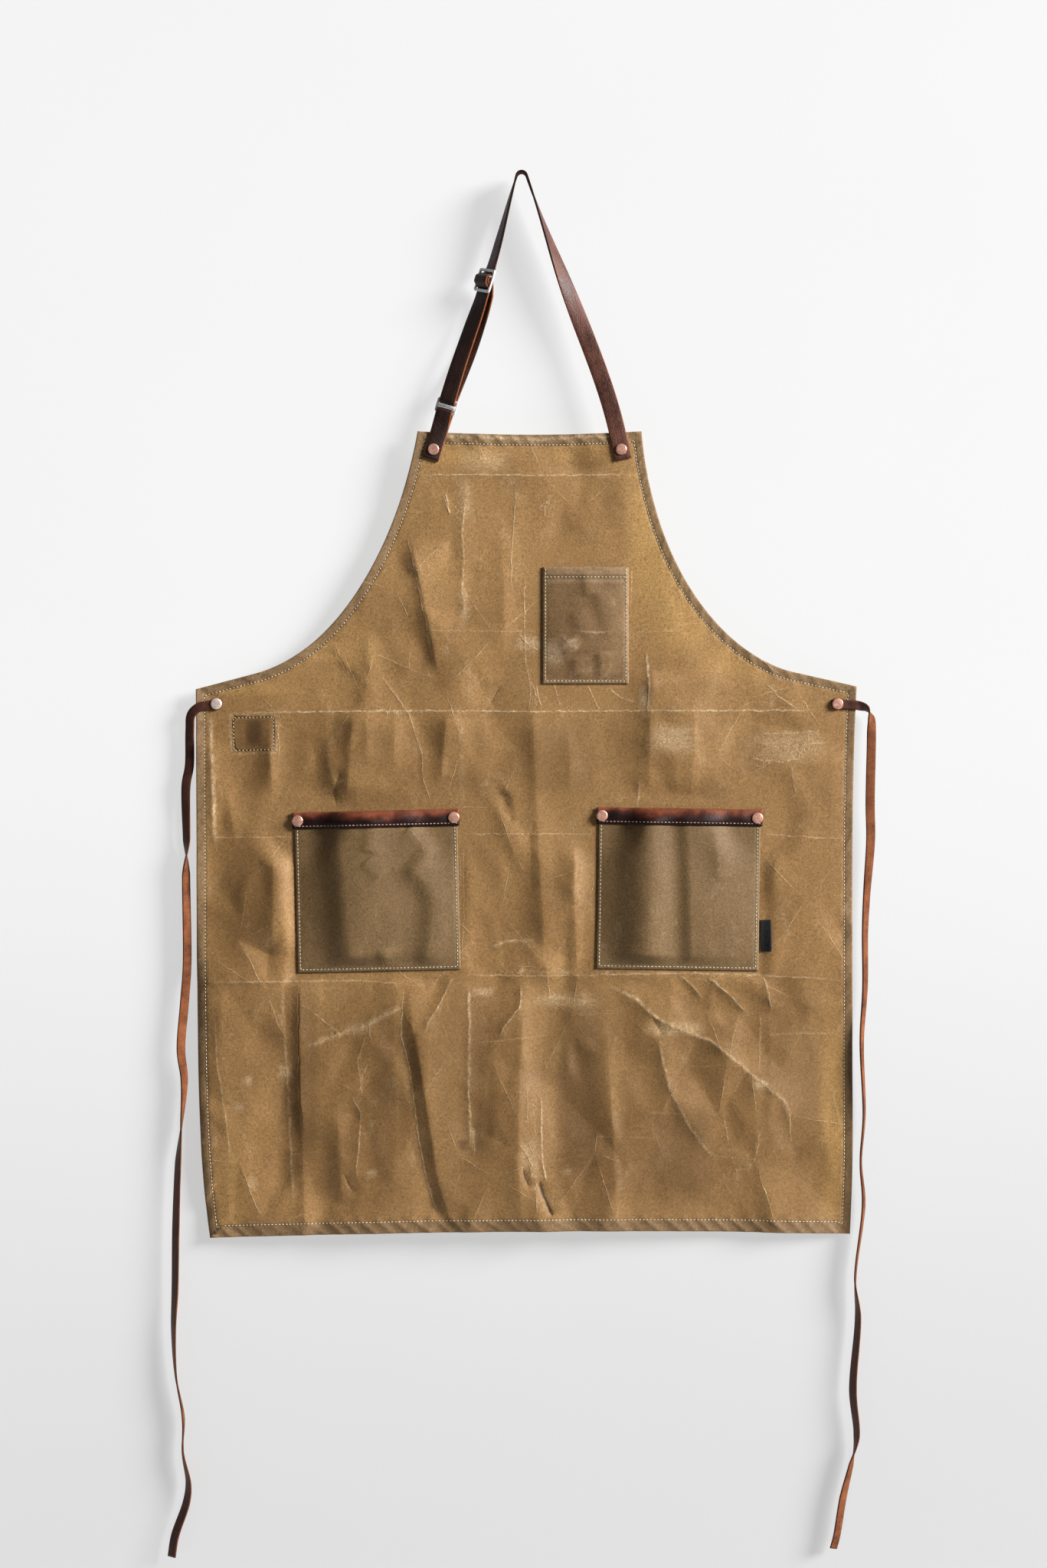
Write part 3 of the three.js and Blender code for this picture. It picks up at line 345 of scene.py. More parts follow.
# Painted shade: broad dark places standing in for the shading of folds and for light falling off down the
# apron
PAINTED_SHADE_SPOTS = [
    Spot(70, -1010, 370, 170, 0.5),
    Spot(-176, -985, 72, 150, 0.54),
    Spot(-148, -990, 20, 150, 0.72),
    Spot(-234, -965, 24, 130, 0.76),
    Spot(64, -985, 36, 140, 0.84),
    Spot(170, -1050, 48, 74, 0.78),
    Spot(288, -970, 46, 130, 0.64),
    Spot(40, -628, 52, 50, 0.56),
    Spot(-46, -985, 26, 120, 0.72),
    Spot(-62, -1040, 6, 9, 0.95),
    Spot(-47, -1030, 6, 24, 0.9),
    Spot(0, -700, 440, 190, 0.28),
    Spot(0, -500, 150, 60, 0.16),
    Spot(-190, -630, 150, 50, 0.34),
    Spot(-292, -770, 50, 110, 0.44),
    Spot(60, -760, 40, 90, 0.36),
    Spot(110, -1050, 110, 70, 0.64),
    Spot(-287, -598, 11, 20, 0.62),
    Spot(74, -305, 24, 14, 0.4),
    Spot(96, -350, 14, 30, 0.3),
]

# Hems: insets of the cloth's rows from its edge, and the turned-back rows as inset and distance behind
HEM_INSETS = (0, 0.8, 2, 4, 6, 7.4, 8.4, 9.4, 10.8, 12.6, 15)
HEM_TURN = ((-0.5, 0.5), (-0.5, 1.3), (0, 1.9), (1.4, 2.1), (5, 2.1), (9.4, 2.1), (10.2, 1.8))
HEM_STITCH_INSET = 8.4
STITCH_INSETS = {"bottom": 12, "top": 10.5, "armhole": 8.5, "side": 8.5}
# The outline has a corner where its direction changes to less than this cosine
CORNER_COSINE = 0.95
# Grooves along stitches: depth and half width. Rounded edges: drop and reach
HEM_GROOVE = (0.45, 1.1)
POCKET_GROOVE = (0.35, 0.9)
TRIM_GROOVE = (0.3, 0.8)
HEM_EDGE_DROP = (0.3, 0.5)
POCKET_EDGE_DROP = (0.5, 0.6)
TRIM_EDGE_DROP = (0.9, 0.7)
# Painted shade over the patch sewn behind the panel, and where it fades out from the patch's edge
PATCH_SHADE = 0.46
PATCH_SHADE_ENDS = (-9, 2)
PATCH_STITCH_INSET = 3.5
PATCH_STITCH_LENGTH = 2
PATCH_PITCH = 3
# Height of the ripples that rope each kind of hem, and how far its edge curls forward
ROPING = {"bottom": 0.8, "top": 0.65, "armhole": 0.4, "side": 0.3}
HEM_LIFT = {"bottom": 0.3, "top": 0.3, "armhole": 1.0, "side": 2.2}
HEM_LIFT_REACH = 7
# Heights between which the left hem turns from curling forward to curling back, and how far back by then
LEFT_HEM_TURNS = (740, 900)
LEFT_HEM_DROP = 1.4
# The right hem curls less
RIGHT_HEM_LIFT = 0.65
ROPING_LENGTH = 19
ROPING_SLANT = 1.1
ROPING_ENDS = (-1, 7)
# Along a hem the ripples drift and change their strength, in lumps of these lengths
ROPING_DRIFT = 3.5
ROPING_DRIFT_LENGTH = 41
ROPING_STRENGTH = 0.75
ROPING_STRENGTH_CHANGE = 0.6
ROPING_STRENGTH_LENGTH = 67

# Folds in the pocket cloth
POCKET_FOLDS = {
    "left": [
        Fold(9.5, 24, 60, [(-196, -680), (-193, -715), (-187, -774), (-184, -813), (-177, -860)]),
        Fold(4.2, 12, 22, [(-126, -736), (-104, -755), (-93, -778), (-95, -804), (-98, -833), (-102, -860)]),
        Fold(2.4, 10, 16, [(-122, -698), (-106, -714), (-95, -732)]),
        Fold(1.8, 6, 10, [(-150, -830), (-143, -860)]),
        Fold(1.8, 8, 12, [(-160, -690), (-164, -730)]),
        Fold(1.6, 8, 14, [(-168, -736), (-150, -756)]),
    ],
    "right": [
        Fold(11, 32, 26, [(130, -680), (134, -760), (132, -860)]),
        Fold(5, 12, 52, [(178, -680), (182, -770), (184, -860)]),
        Fold(1.6, 8, 14, [(206, -700), (214, -760)]),
    ],
    "chest": [
        Fold(1.6, 10, 18, [(82, -447), (88, -471), (97, -498)]),
        Fold(1.2, 8, 14, [(56, -468), (64, -486), (76, -500)]),
        Fold(1.5, 6, 12, [(68, -428), (71, -454)]),
        Fold(1.8, 6, 14, [(85, -512), (86, -546)]),
        Fold(1.6, 8, 12, [(58, -518), (62, -546)]),
        Fold(1.5, 14, 9, [(50, -498), (58, -510)]),
    ],
}
POCKET_BULGE_SHARE = 0.5
POCKET_CREASES = {
    "chest": [
        Crease("slant", 0, 1, 1, 0.6, 3, [(40, -493), (47, -501), (50, -504), (58, -508), (64, -510)], 0.4),
        Crease("level", 0, 1, 1, 0.4, 1.8, [(50, -491), (76, -492), (102, -491)], 0.4),
    ],
    "left": [
        Crease("upright", 0, 1, 1, -0.5, 1, [(-150, -836), (-144, -858)]),
        Crease("slant", 0, 1, 1, 0.3, 0.8, [(-120, -702), (-108, -716), (-104, -734)]),
    ],
    "right": [
        Crease("slant", 0, 1, 1, 0.3, 0.8, [(190, -716), (206, -722)]),
    ],
}
# Rumples of the pocket cloth: height, size across and up, and the layer of noise
RUMPLES = ((0.9, 40, 55, 2.5), (0.4, 17, 22, 5.5))
POCKET_FOLDS_START = (-1, -0.8)
POCKET_FOLDS_NEAR_RIVET = (14, 50)
POCKET_FOLD_FADE = 0.12
POCKET_PITCH = 1.75
POCKET_CLOTH = 1.2
POCKET_STAND = GAP + CANVAS + 0.5
POCKET_STITCH_INSET = 3.2
# The doubled edge swells before its stitches: height, inset and half width
EDGE_SWELL, EDGE_SWELL_INSET, EDGE_SWELL_WIDTH = 0.25, 1.5, 1.2
CHEST_HEM = 10.7
TRIM_STITCH_INSET = 3
TRIM_PITCH = 1.2
TRIM_GAP = 0.1
TRIM_THICKNESS = 1.8
TRIM_CROWN = 2.2
TRIM_CROWN_ENDS = (8, 24)
# The label stands off the cloth, more towards its free edge
LABEL_PITCH = 1
LABEL_THICKNESS = 0.7
LABEL_STAND = 1.0
LABEL_LIFT = 0.6
LABEL_LIFT_ENDS = (-4, 6)

# Thread: length and spacing of a stitch, its width and height
STITCH_LENGTH = 2.8
STITCH_PITCH = 3.9
STITCH_WIDTH = 1.2
STITCH_HEIGHT = 0.9
STITCH_STAND = 0.15
# How far from the ends of a trim, or from the chest pocket's mouth, a seam ends
TRIM_SEAM_END = 1.5
CHEST_SEAM_END = 1

# Neck strap: it bends round at its top and runs down to a rivet at each side of the bib
STRAP_WIDTH = 18
STRAP_END = 11
INNER_BEND = 4.6
BEND_RADIUS = INNER_BEND + LEATHER / 2
BIB_RIVETS = {"left": (-94.3, -296), "right": (106.6, -296)}
STRAP_STEP = 3
BEND_STEPS = 24
SLIDER_STEP = 0.8
TAB_SETTLE = 15
STRAP_LIFT_END = 40
RIGHT_UNTWIST_LENGTH = 215
RIGHT_BOW = 5
RIGHT_BOW_POWER = 2.4
STRAP_CORNER = 0.75
# How far the left leg is turned from facing the front, in degrees, at distances down it
LEFT_TURNS = [
    (0, 90), (18, 83), (45, 75), (73, 66), (100, 61), (116, 44), (137, 42), (162, 30), (200, 24),
    (246, 14), (268, 14), (284, 0),
]

# Three-bar slides, square in section
SLIDE_GAP = 0.5
BAR_HEIGHT = 3
BAR_DEPTH = 2.5
SLIDE_WINDOW = 19
SLIDE_SIDE = 2.3
SLIDE_CORNER = 2.2
SLIDE_ROUND = 0.55
Slide = namedtuple("Slide", "at bar_spacing centre_proud")
SLIDER = Slide(117, 11.2, 0)
RING = Slide(258, 6.4, 1.2)
FOLD_RADIUS = 3.4
ARCH_HEIGHT, ARCH_TOP, ARCH_FOOT = 6.2, 2.5, 9.4
REAR_LAYER_AT_SLIDER = -10
REAR_LAYER_SLACK = 6
LOOP_END_ANGLE = 250

# Copper rivets with a washer behind. A head's profile is given as insets from its radius and heights
RIVET_HEAD_RADIUS = 6
RIVET_HEAD_HEIGHT = 1.5
RIVET_HEAD_PROFILE = ((0.25, 0), (0, 0.3), (0.05, 0.7), (0.35, 1.1), (0.9, 1.3), (1.8, 1.38))
RIVET_SHANK_RADIUS = 1.8
WASHER_RADIUS = 4.5
WASHER_HEIGHT = 1.2
WASHER_BEVEL = 0.3
PEEN = 0.8
RIVET_STEPS = 48
WAIST_RIVETS = {"left": (-327.2, -568.3), "right": (338.7, -568.3)}

# Waist ties: leather laces whose riveted end is cut round
TIE_WIDTH = 10
TIE_THICKNESS = 2.0
TIE_HEAD_RADIUS = 6.6
TIE_STEP = 3
TIE_SAMPLES = 40
TIE_START = 0.4
TIE_CORNER = 0.6
# Routes from the rivet to the free end, as x, y, z and turn, which is 0 with the grain to the front
TIES = {
    "left": [
        (-320.8, 5.6, -567.6, 0), (-334, 6.1, -569.5, 0), (-346, 6.3, -572, 0), (-354.4, 7.2, -580, 15),
        (-356, 8.6, -596, 20), (-356.5, 9, -635, 10), (-360, 9, -655, 10), (-359.5, 9, -715, 40),
        (-360, 9, -752, 140), (-359, 9, -850, 150), (-362, 9, -892, 155), (-365.5, 9, -940, 150),
        (-362, 9, -972, 130), (-365, 9, -1020, 90), (-368.5, 9, -1060, 50), (-371, 9, -1130, 40),
        (-372, 9, -1200, 45), (-373.5, 9, -1240, 60), (-371, 9, -1290, 80), (-363, 9, -1335, 95),
        (-363.5, 9, -1372, 80), (-357.5, 9, -1405, 55), (-359.5, 9, -1425, 40), (-372, 9, -1462, 30),
        (-375.5, 9, -1484, 30),
    ],
    "right": [
        (332.2, 6.1, -567.8, 0), (346, 6.7, -568.8, 0), (360, 7.2, -570, 0), (370, 8.2, -573.5, 55),
        (375, 8.6, -583, 135), (375.4, 9, -600, 170), (374, 9, -675, 175), (374.5, 9, -714, 165),
        (370.5, 9, -770, 140), (368.5, 9, -812, 130), (368.5, 9, -872, 125), (365, 9, -930, 115),
        (367.5, 9, -1010, 105), (364, 9, -1060, 100), (367, 9, -1105, 110), (358, 9, -1186, 100),
        (361, 9, -1226, 60), (355.5, 9, -1305, 45), (359.5, 9, -1355, 60), (353.5, 9, -1385, 120),
        (345, 9, -1420, 140), (338, 9, -1462, 140), (334.5, 9, -1475, 140),
    ],
}

# Backdrop, floor and light
WALL_Y = 20
FLOOR_Z = -1600
FLOOR_DEPTH = 1.0
STAGE_REACH = 6
LIT_MIDDLE = (0, 0, -0.7)
KEY_DIRECTION = (0.847, -0.377, 0.375)
KEY_DISTANCE = 20
KEY_SIZE = 8
KEY_POWER = 11500
WORLD_STRENGTH = 0.1


# Node trees
def srgb(red, green, blue):
    """A colour given as the screen shows it, 0 to 255, as the linear colour that a socket takes"""
    values = [channel / 255 for channel in (red, green, blue)]
    linear = [v / 12.92 if v <= 0.04045 else ((v + 0.055) / 1.055) ** 2.4 for v in values]
    return (*linear, 1.0)


def feed(node, inputs):
    """Outputs linked to a node's inputs, and constants set on them"""
    for name, value in inputs.items():
        if isinstance(value, Output):
            value.tree.links.new(value.socket, node.inputs[name])
        else:
            node.inputs[name].default_value = value


def add_node(tree, kind, inputs=None, **settings):
    node = tree.nodes.new(kind)
    for name, value in settings.items():
        setattr(node, name, value)
    feed(node, inputs or {})
    return node


def output_of(tree, kind, inputs=None, output=0, **settings):
    """One output of a new node"""
    return Output(tree, add_node(tree, kind, inputs, **settings).outputs[output])


class Output:
    """A node's output to calculate with: each step adds a node to its tree"""

    def __init__(self, tree, socket):
        self.tree = tree
        self.socket = socket

    def apply(self, operation, other=0.0, **settings):
        inputs = {0: self, 1: other}
        return output_of(self.tree, "ShaderNodeMath", inputs, operation=operation, **settings)

    def __add__(self, other):
        return self.apply("ADD", other)

    def __sub__(self, other):
        return self.apply("SUBTRACT", other)

    def __mul__(self, other):
        return self.apply("MULTIPLY", other)

    def __truediv__(self, other):
        return self.apply("DIVIDE", other)

    def __rtruediv__(self, number):
        return output_of(self.tree, "ShaderNodeMath", {0: number, 1: self}, operation="DIVIDE")

    def most(self, other):
        return self.apply("MAXIMUM", other)

    def remap(self, low, high, to_low=0.0, to_high=1.0, smooth=False):
        kind = "SMOOTHSTEP" if smooth else "LINEAR"
        inputs = {"Value": self, "From Min": low, "From Max": high, "To Min": to_low, "To Max": to_high}
        return output_of(self.tree, "ShaderNodeMapRange", inputs, "Result", interpolation_type=kind)

    def stretched(self, scale):
        return output_of(self.tree, "ShaderNodeMapping", {"Vector": self, "Scale": scale})

    def noise(self, size, detail=3.0, roughness=0.55):
        """Noise at this place whose lumps are about size millimetres across"""
        inputs = {"Vector": self, "Scale": 1000 / size, "Detail": detail, "Roughness": roughness}
        return output_of(self.tree, "ShaderNodeTexNoise", inputs, noise_dimensions="3D")

    def split(self):
        node = add_node(self.tree, "ShaderNodeSeparateXYZ", {0: self})
        return [Output(self.tree, part) for part in node.outputs]

    def through(self, group, **inputs):
        """What a node group gives at this place, by name"""
        node = add_node(self.tree, "ShaderNodeGroup", node_tree=group)
        feed(node, {"Place": self, **inputs})
        return {part.name: Output(self.tree, part) for part in node.outputs}


def mix_colour(factor, first, second, blend="MIX"):
    inputs = {0: factor, 6: first, 7: second}
    tree = next(value.tree for value in inputs.values() if isinstance(value, Output))
    return output_of(tree, "ShaderNodeMix", inputs, 2, data_type="RGBA", blend_type=blend)


def stored(tree, name, output="Fac"):
    """A value or vector that was stored on the mesh"""
    return output_of(tree, "ShaderNodeAttribute", output=output, attribute_name=name)


VECTOR = "NodeSocketVector"
VALUE = "NodeSocketFloat"


def new_group(name, inputs, outputs):
    """An empty shader node group: its tree, what it is given by name, and its output node"""
    tree = bpy.data.node_groups.new(name, "ShaderNodeTree")
    for socket, kind in inputs.items():
        tree.interface.new_socket(socket, in_out="INPUT", socket_type=kind)
    for socket in outputs:
        tree.interface.new_socket(socket, in_out="OUTPUT", socket_type=VALUE)
    sockets = tree.nodes.new("NodeGroupInput").outputs
    given = {socket: Output(tree, sockets[socket]) for socket in inputs}
    return tree, given, tree.nodes.new("NodeGroupOutput")


def make_weave_group():
    """Plain weave of warp and weft with slubs: its height in millimetres and a speckle of tone"""
    tree, given, out = new_group("Canvas weave", {"Place": VECTOR, "Pitch": VALUE}, ["Height", "Speckle"])
    place = given["Place"]
    across, _, along = place.split()
    turns = 2 * math.pi * 1000 / given["Pitch"]
    drift = place.noise(9, 2) * 5.0
    warp = (across * turns + drift).apply("SINE")
    weft = (along * turns + drift).apply("SINE")
    slub = place.noise(2.8, 5, 0.8)
    fleck = place.noise(1.3, 3, 0.7)
    height = warp * weft * 0.05 + slub * 0.28
    speckle = slub * 0.45 + fleck * 0.55
    feed(out, {"Height": height, "Speckle": speckle.remap(0.34, 0.66)})
    return tree


def make_crease_group():
    """A line in waxed cloth from its offset, weight and half width: pale bloom, painted shade in its crevice
    and height
    """
    inputs = {"Place": VECTOR, "Line": VECTOR}
    tree, given, out = new_group("Wax crease", inputs, ["Bloom", "Crevice shade", "Height"])
    place = given["Place"]
    offset, weight, width = given["Line"].split()
    wobble = place.noise(12, 3).remap(0.3, 0.7, -0.9, 0.9)
    share = (offset + wobble) / (width * 0.65).most(0.4)
    fall = (share * share * -1.0).apply("EXPONENT")
    broken = place.noise(7, 4, 0.65).remap(0.36, 0.62, 0.25, 1.3)
    bloom = fall * weight.most(0.0) * broken
    painted_shade = fall * (weight * -1.0).most(0.0)
    feed(out, {"Bloom": bloom, "Crevice shade": painted_shade, "Height": bloom * 0.7 - painted_shade * 0.5})
    return tree


def make_grain_group():
    """Leather grain: pebbles and pores as a height in millimetres, and tone from pulled-up waxes"""
    tree, given, out = new_group("Leather grain", {"Place": VECTOR, "Pebble": VALUE}, ["Height", "Tone"])
    place = given["Place"]
    bent = {0: place.noise(6, 3), "Scale": 0.0012}
    nudge = output_of(tree, "ShaderNodeVectorMath", bent, operation="SCALE")
    nudged = output_of(tree, "ShaderNodeVectorMath", {0: place, 1: nudge}, operation="ADD")
    cells = {"Vector": nudged, "Scale": 1000.0 / given["Pebble"]}
    distance = output_of(tree, "ShaderNodeTexVoronoi", cells, "Distance", feature="F1")
    pebble = distance.remap(0.1, 0.75, 1.0, 0.0, smooth=True)
    pores = place.noise(0.9, 3, 0.7)
    tone = place.noise(38, 4, 0.6) * 0.7 + place.noise(4, 3, 0.7) * 0.3
    feed(out, {"Height": pebble * 0.16 + pores * 0.12, "Tone": tone.remap(0.36, 0.64)})
    return tree


WEAVE = make_weave_group()
CREASED = make_crease_group()
GRAIN = make_grain_group()


def new_material(name):
    """A material, its principled shader and the place on its object"""
    material = bpy.data.materials.new(name)
    material.use_nodes = True
    tree = material.node_tree
    place = output_of(tree, "ShaderNodeTexCoord", output="Object")
    return material, tree.nodes["Principled BSDF"], place


def set_surface(shader, colour, roughness, height, bump=1.0, **others):
    """Colour, roughness, a bump from heights in millimetres, and other inputs of the shader"""
    bumped = {"Height": height, "Strength": bump, "Distance": MM}
    normal = output_of(height.tree, "ShaderNodeBump", bumped)
    feed(shader, {"Base Color": colour, "Roughness": roughness, "Normal": normal})
    feed(shader, {name.replace("_", " "): value for name, value in others.items()})


WALL_GREY = srgb(132, 132, 132)
GLOW_LOW = srgb(172, 172, 172)
GLOW_HIGH = srgb(209, 209, 209)
FLOOR_GREY = srgb(205, 205, 205)
# Canvas is darkened and warmed where it is shaded, in crevices and along its stitches
SHADE = srgb(54, 37, 18)
WARM_SHADE = srgb(255, 246, 219)
# Width of the greyer doubled edge, and the pitch of the weaves
PANEL_HEM = 9.6
POCKET_HEM = 6
CHEST_POCKET_HEM = 5
CANVAS_WEAVE = 1.15
TAPE_WEAVE = 0.7
# gold is the colour painted in where light shines through the thin cloth
Canvas = namedtuple("Canvas", "dark light hem bloom gold")
PANEL_TONES = Canvas(
    dark=srgb(132, 97, 56),
    light=srgb(164, 127, 80),
    hem=srgb(124, 99, 70),
    bloom=srgb(222, 196, 158),
    gold=srgb(177, 138, 82),
)
POCKET_TONES = Canvas(
    dark=srgb(100, 78, 49),
    light=srgb(129, 102, 67),
    hem=srgb(118, 97, 68),
    bloom=srgb(196, 172, 138),
    gold=srgb(140, 112, 72),
)
CHEST_TONES = Canvas(
    dark=srgb(106, 80, 50),
    light=srgb(136, 106, 71),
    hem=srgb(138, 112, 82),
    bloom=srgb(206, 180, 146),
    gold=srgb(150, 118, 72),
)


def canvas_material(name, tones, hem_width, stitch_inset):
    """Waxed canvas: mottled tone, speckled weave, greyer hems, scuffs, a painted glow where light shows
    through thin places, painted shade and pale creases
    """
    material, shader, place = new_material(name)
    weave = place.through(WEAVE, Pitch=CANVAS_WEAVE)
    mottle = place.noise(130, 4, 0.55) * 0.65 + place.noise(34, 4, 0.6) * 0.35
    colour = mix_colour(mottle.remap(0.2, 0.8), tones.dark, tones.light)
    edge = stored(place.tree, "edge")
    scuff, gold, painted_shade = stored(place.tree, "wear_and_painted_light", "Vector").split()
    colour = mix_colour(gold, colour, tones.gold)
    doubled = edge.remap(hem_width - 0.8, hem_width + 0.8, 0.85, 0.0, smooth=True)
    colour = mix_colour(doubled, colour, tones.hem)
    streaks = place.stretched((0.3, 1.0, 1.6)).noise(6, 5, 0.75)
    haze = place.stretched((1.0, 1.0, 0.6)).noise(24, 6, 0.8).remap(0.56, 0.76, 0.0, 0.3)
    bloom = scuff * streaks.remap(0.3, 0.6, 0.15, 1.0) + haze
    height = weave["Height"]
    for family in FAMILIES:
        line = place.through(CREASED, Line=stored(place.tree, "crease_" + family, "Vector"))
        bloom = bloom.most(line["Bloom"])
        painted_shade = painted_shade.most(line["Crevice shade"])
        height = height + line["Height"]
    dusting = bloom * weave["Speckle"].remap(0.0, 1.0, 0.55, 1.1)
    colour = mix_colour(dusting.apply("MULTIPLY", 1.0, use_clamp=True), colour, tones.bloom)
    colour = mix_colour(1.0, colour, weave["Speckle"].remap(0.0, 1.0, 0.45, 1.55), "MULTIPLY")
    from_seam = (edge - stitch_inset).apply("ABSOLUTE")
    seam_shade = from_seam.remap(0.4, 1.3, 0.4, 0.0, smooth=True)
    # Painted shade from the shade spots, the creases' crevices and the stitch lines
    shade = (painted_shade * 0.8).most(seam_shade)
    colour = mix_colour(shade, colour, SHADE)
    colour = mix_colour(shade, colour, WARM_SHADE, "MULTIPLY")
    roughness = bloom.remap(0.0, 0.8, 0.6, 0.82)
    set_surface(shader, colour, roughness, height, 0.8, Specular_IOR_Level=0.28)
    return material


def leather_material(name, dark, light, pebble, roughness, bump, left_side_shade=None):
    """Oiled leather with grain and pulled-up tone, and painted shade over its left side when a colour for it
    is given
    """
    material, shader, place = new_material(name)
    grain = place.through(GRAIN, Pebble=pebble)
    colour = mix_colour(grain["Tone"], dark, light)
    if left_side_shade:
        # Painted shade: the strap's left leg, which faces away from the light, is darkened
        left_shade_share = place.split()[0].remap(0.012, -0.012, 0.0, 0.85)
        colour = mix_colour(left_shade_share, colour, left_side_shade)
    varied = grain["Tone"].remap(0.0, 1.0, roughness - 0.08, roughness + 0.1)
    set_surface(shader, colour, varied, grain["Height"], bump, Specular_IOR_Level=0.3)
    return material


def raw_leather_material(name, dark, light, darker_behind_and_high=None):
    """Cut edges and flesh side: fibrous, with no shine, and darker where they lie behind or high up"""
    material, shader, place = new_material(name)
    fibre = place.noise(1.6, 5, 0.8)
    blend = fibre * 0.5 + place.noise(16, 4, 0.6) * 0.5
    colour = mix_colour(blend.remap(0.36, 0.64), dark, light)
    if darker_behind_and_high:
        # Darker where the edge lies behind the front or near the top of the strap
        _, behind, above = place.split()
        handled = behind.remap(0.003, 0.007).most(above.remap(-0.125, -0.09))
        colour = mix_colour(handled, colour, darker_behind_and_high)
    set_surface(shader, colour, 0.9, fibre * 0.6, 0.8, Specular_IOR_Level=0.15)
    return material


def trim_material():
    """The pocket binding, oiled leather: a painted highlight along its rolled top where it faces the light,
    painted shade below
    """
    material, shader, place = new_material("oiled trim leather")
    grain = place.through(GRAIN, Pebble=1.6)
    waver = place.noise(28, 4).remap(0.3, 0.7, -0.65, 0.55)
    # Painted light: the binding is lighter higher up its roll and darker lower down, by how the light falls
    # on it
    level = stored(place.tree, "up") + waver
    colour = mix_colour(level.remap(-0.4, 0.8, smooth=True), srgb(27, 11, 8), srgb(80, 37, 24))
    painted_highlight = level.remap(0.1, 1.1, smooth=True) * grain["Tone"].remap(0.0, 1.0, 0.3, 1.0)
    colour = mix_colour(painted_highlight, colour, srgb(134, 74, 50))
    roughness = grain["Tone"].remap(0.0, 1.0, 0.4, 0.56)
    set_surface(shader, colour, roughness, grain["Height"], 0.5, Specular_IOR_Level=0.22)
    return material


def thread_material(name, dark, light):
    material, shader, place = new_material(name)
    colour = mix_colour(place.noise(5, 3, 0.7).remap(0.35, 0.65), dark, light)
    set_surface(shader, colour, 0.75, place.noise(0.5, 2) * 0.2, Specular_IOR_Level=0.2)
    return material


def steel_material():
    material, shader, place = new_material("satin steel")
    rub = place.noise(3, 4, 0.7)
    colour = mix_colour(rub.remap(0.35, 0.65), srgb(196, 198, 198), srgb(226, 228, 228))
    set_surface(shader, colour, rub.remap(0.3, 0.7, 0.22, 0.4), place.noise(0.8, 2) * 0.012, Metallic=0.25)
    return material


def copper_material(name, dark, light):
    """Turned copper: fine rings about each rivet's own middle, and a handled bloom"""
    material, shader, place = new_material(name)
    turned = {"W": stored(place.tree, "radius"), "Scale": 2.6, "Detail": 3.0}
    rings = output_of(place.tree, "ShaderNodeTexNoise", turned, noise_dimensions="1D")
    handled = place.noise(4, 4, 0.65)
    colour = mix_colour(handled.remap(0.35, 0.65), dark, light)
    set_surface(shader, colour, handled.remap(0.3, 0.7, 0.3, 0.46), rings * 0.16, Metallic=0.55)
    return material


def label_material():
    material, shader, place = new_material("black woven tape")
    weave = place.through(WEAVE, Pitch=TAPE_WEAVE)
    colour = mix_colour(weave["Speckle"], srgb(18, 18, 19), srgb(48, 48, 50))
    set_surface(shader, colour, 0.8, weave["Height"], 0.8, Specular_IOR_Level=0.2)
    return material


PANEL_CANVAS = canvas_material("waxed canvas", PANEL_TONES, PANEL_HEM, HEM_STITCH_INSET)
POCKET_CANVAS = canvas_material("doubled waxed canvas", POCKET_TONES, POCKET_HEM, POCKET_STITCH_INSET)
CHEST_CANVAS = canvas_material("chest pocket canvas", CHEST_TONES, CHEST_POCKET_HEM, POCKET_STITCH_INSET)
STRAP_GRAIN = leather_material(
    "strap leather",
    srgb(54, 29, 22),
    srgb(100, 60, 47),
    pebble=1.9,
    roughness=0.52,
    bump=1.0,
    left_side_shade=srgb(34, 20, 16),
)
LACE_GRAIN = leather_material(
    "lace leather", srgb(48, 25, 18), srgb(84, 48, 36), pebble=1.2, roughness=0.5, bump=0.6
)
RAW_EDGE = raw_leather_material(
    "cut leather edge", srgb(92, 49, 28), srgb(140, 80, 48), darker_behind_and_high=srgb(40, 22, 15)
)
LACE_EDGE = raw_leather_material("cut lace edge", srgb(52, 27, 16), srgb(104, 58, 36))
FLESH = raw_leather_material("leather flesh side", srgb(66, 34, 19), srgb(130, 77, 47))
STRAP_FLESH = raw_leather_material("strap flesh side", srgb(52, 29, 20), srgb(84, 49, 33))
TRIM_LEATHER = trim_material()
THREAD = thread_material("waxed thread", srgb(164, 144, 111), srgb(210, 194, 164))
DARK_THREAD = thread_material("brown thread", srgb(132, 92, 78), srgb(190, 150, 136))
STEEL = steel_material()
COPPER = copper_material("turned copper", srgb(186, 134, 113), srgb(222, 172, 150))
# Painted glint: a paler copper standing in for the bright reflection on the left waist rivet
PAINTED_GLINT_COPPER = copper_material("copper with painted glint", srgb(228, 200, 184), srgb(246, 230, 218))
TAPE = label_material()


# Shape of the hanging cloth
def smoothstep(values, low, high):
    share = np.clip((np.asarray(values, float) - low) / (high - low), 0, 1)
    return share * share * (3 - 2 * share)


def tilted(box, across, up):
    """A tilted rectangle's point given from its centre"""
    angle = math.radians(box.tilt)
    x = box.x + across * math.cos(angle) - up * math.sin(angle)
    z = box.z + across * math.sin(angle) + up * math.cos(angle)
    return x, z


def place_in(box, x, z):
    """The same point's distances from the rectangle's centre"""
    angle = math.radians(box.tilt)
    across = (x - box.x) * math.cos(angle) + (z - box.z) * math.sin(angle)
    up = (z - box.z) * math.cos(angle) - (x - box.x) * math.sin(angle)
    return across, up


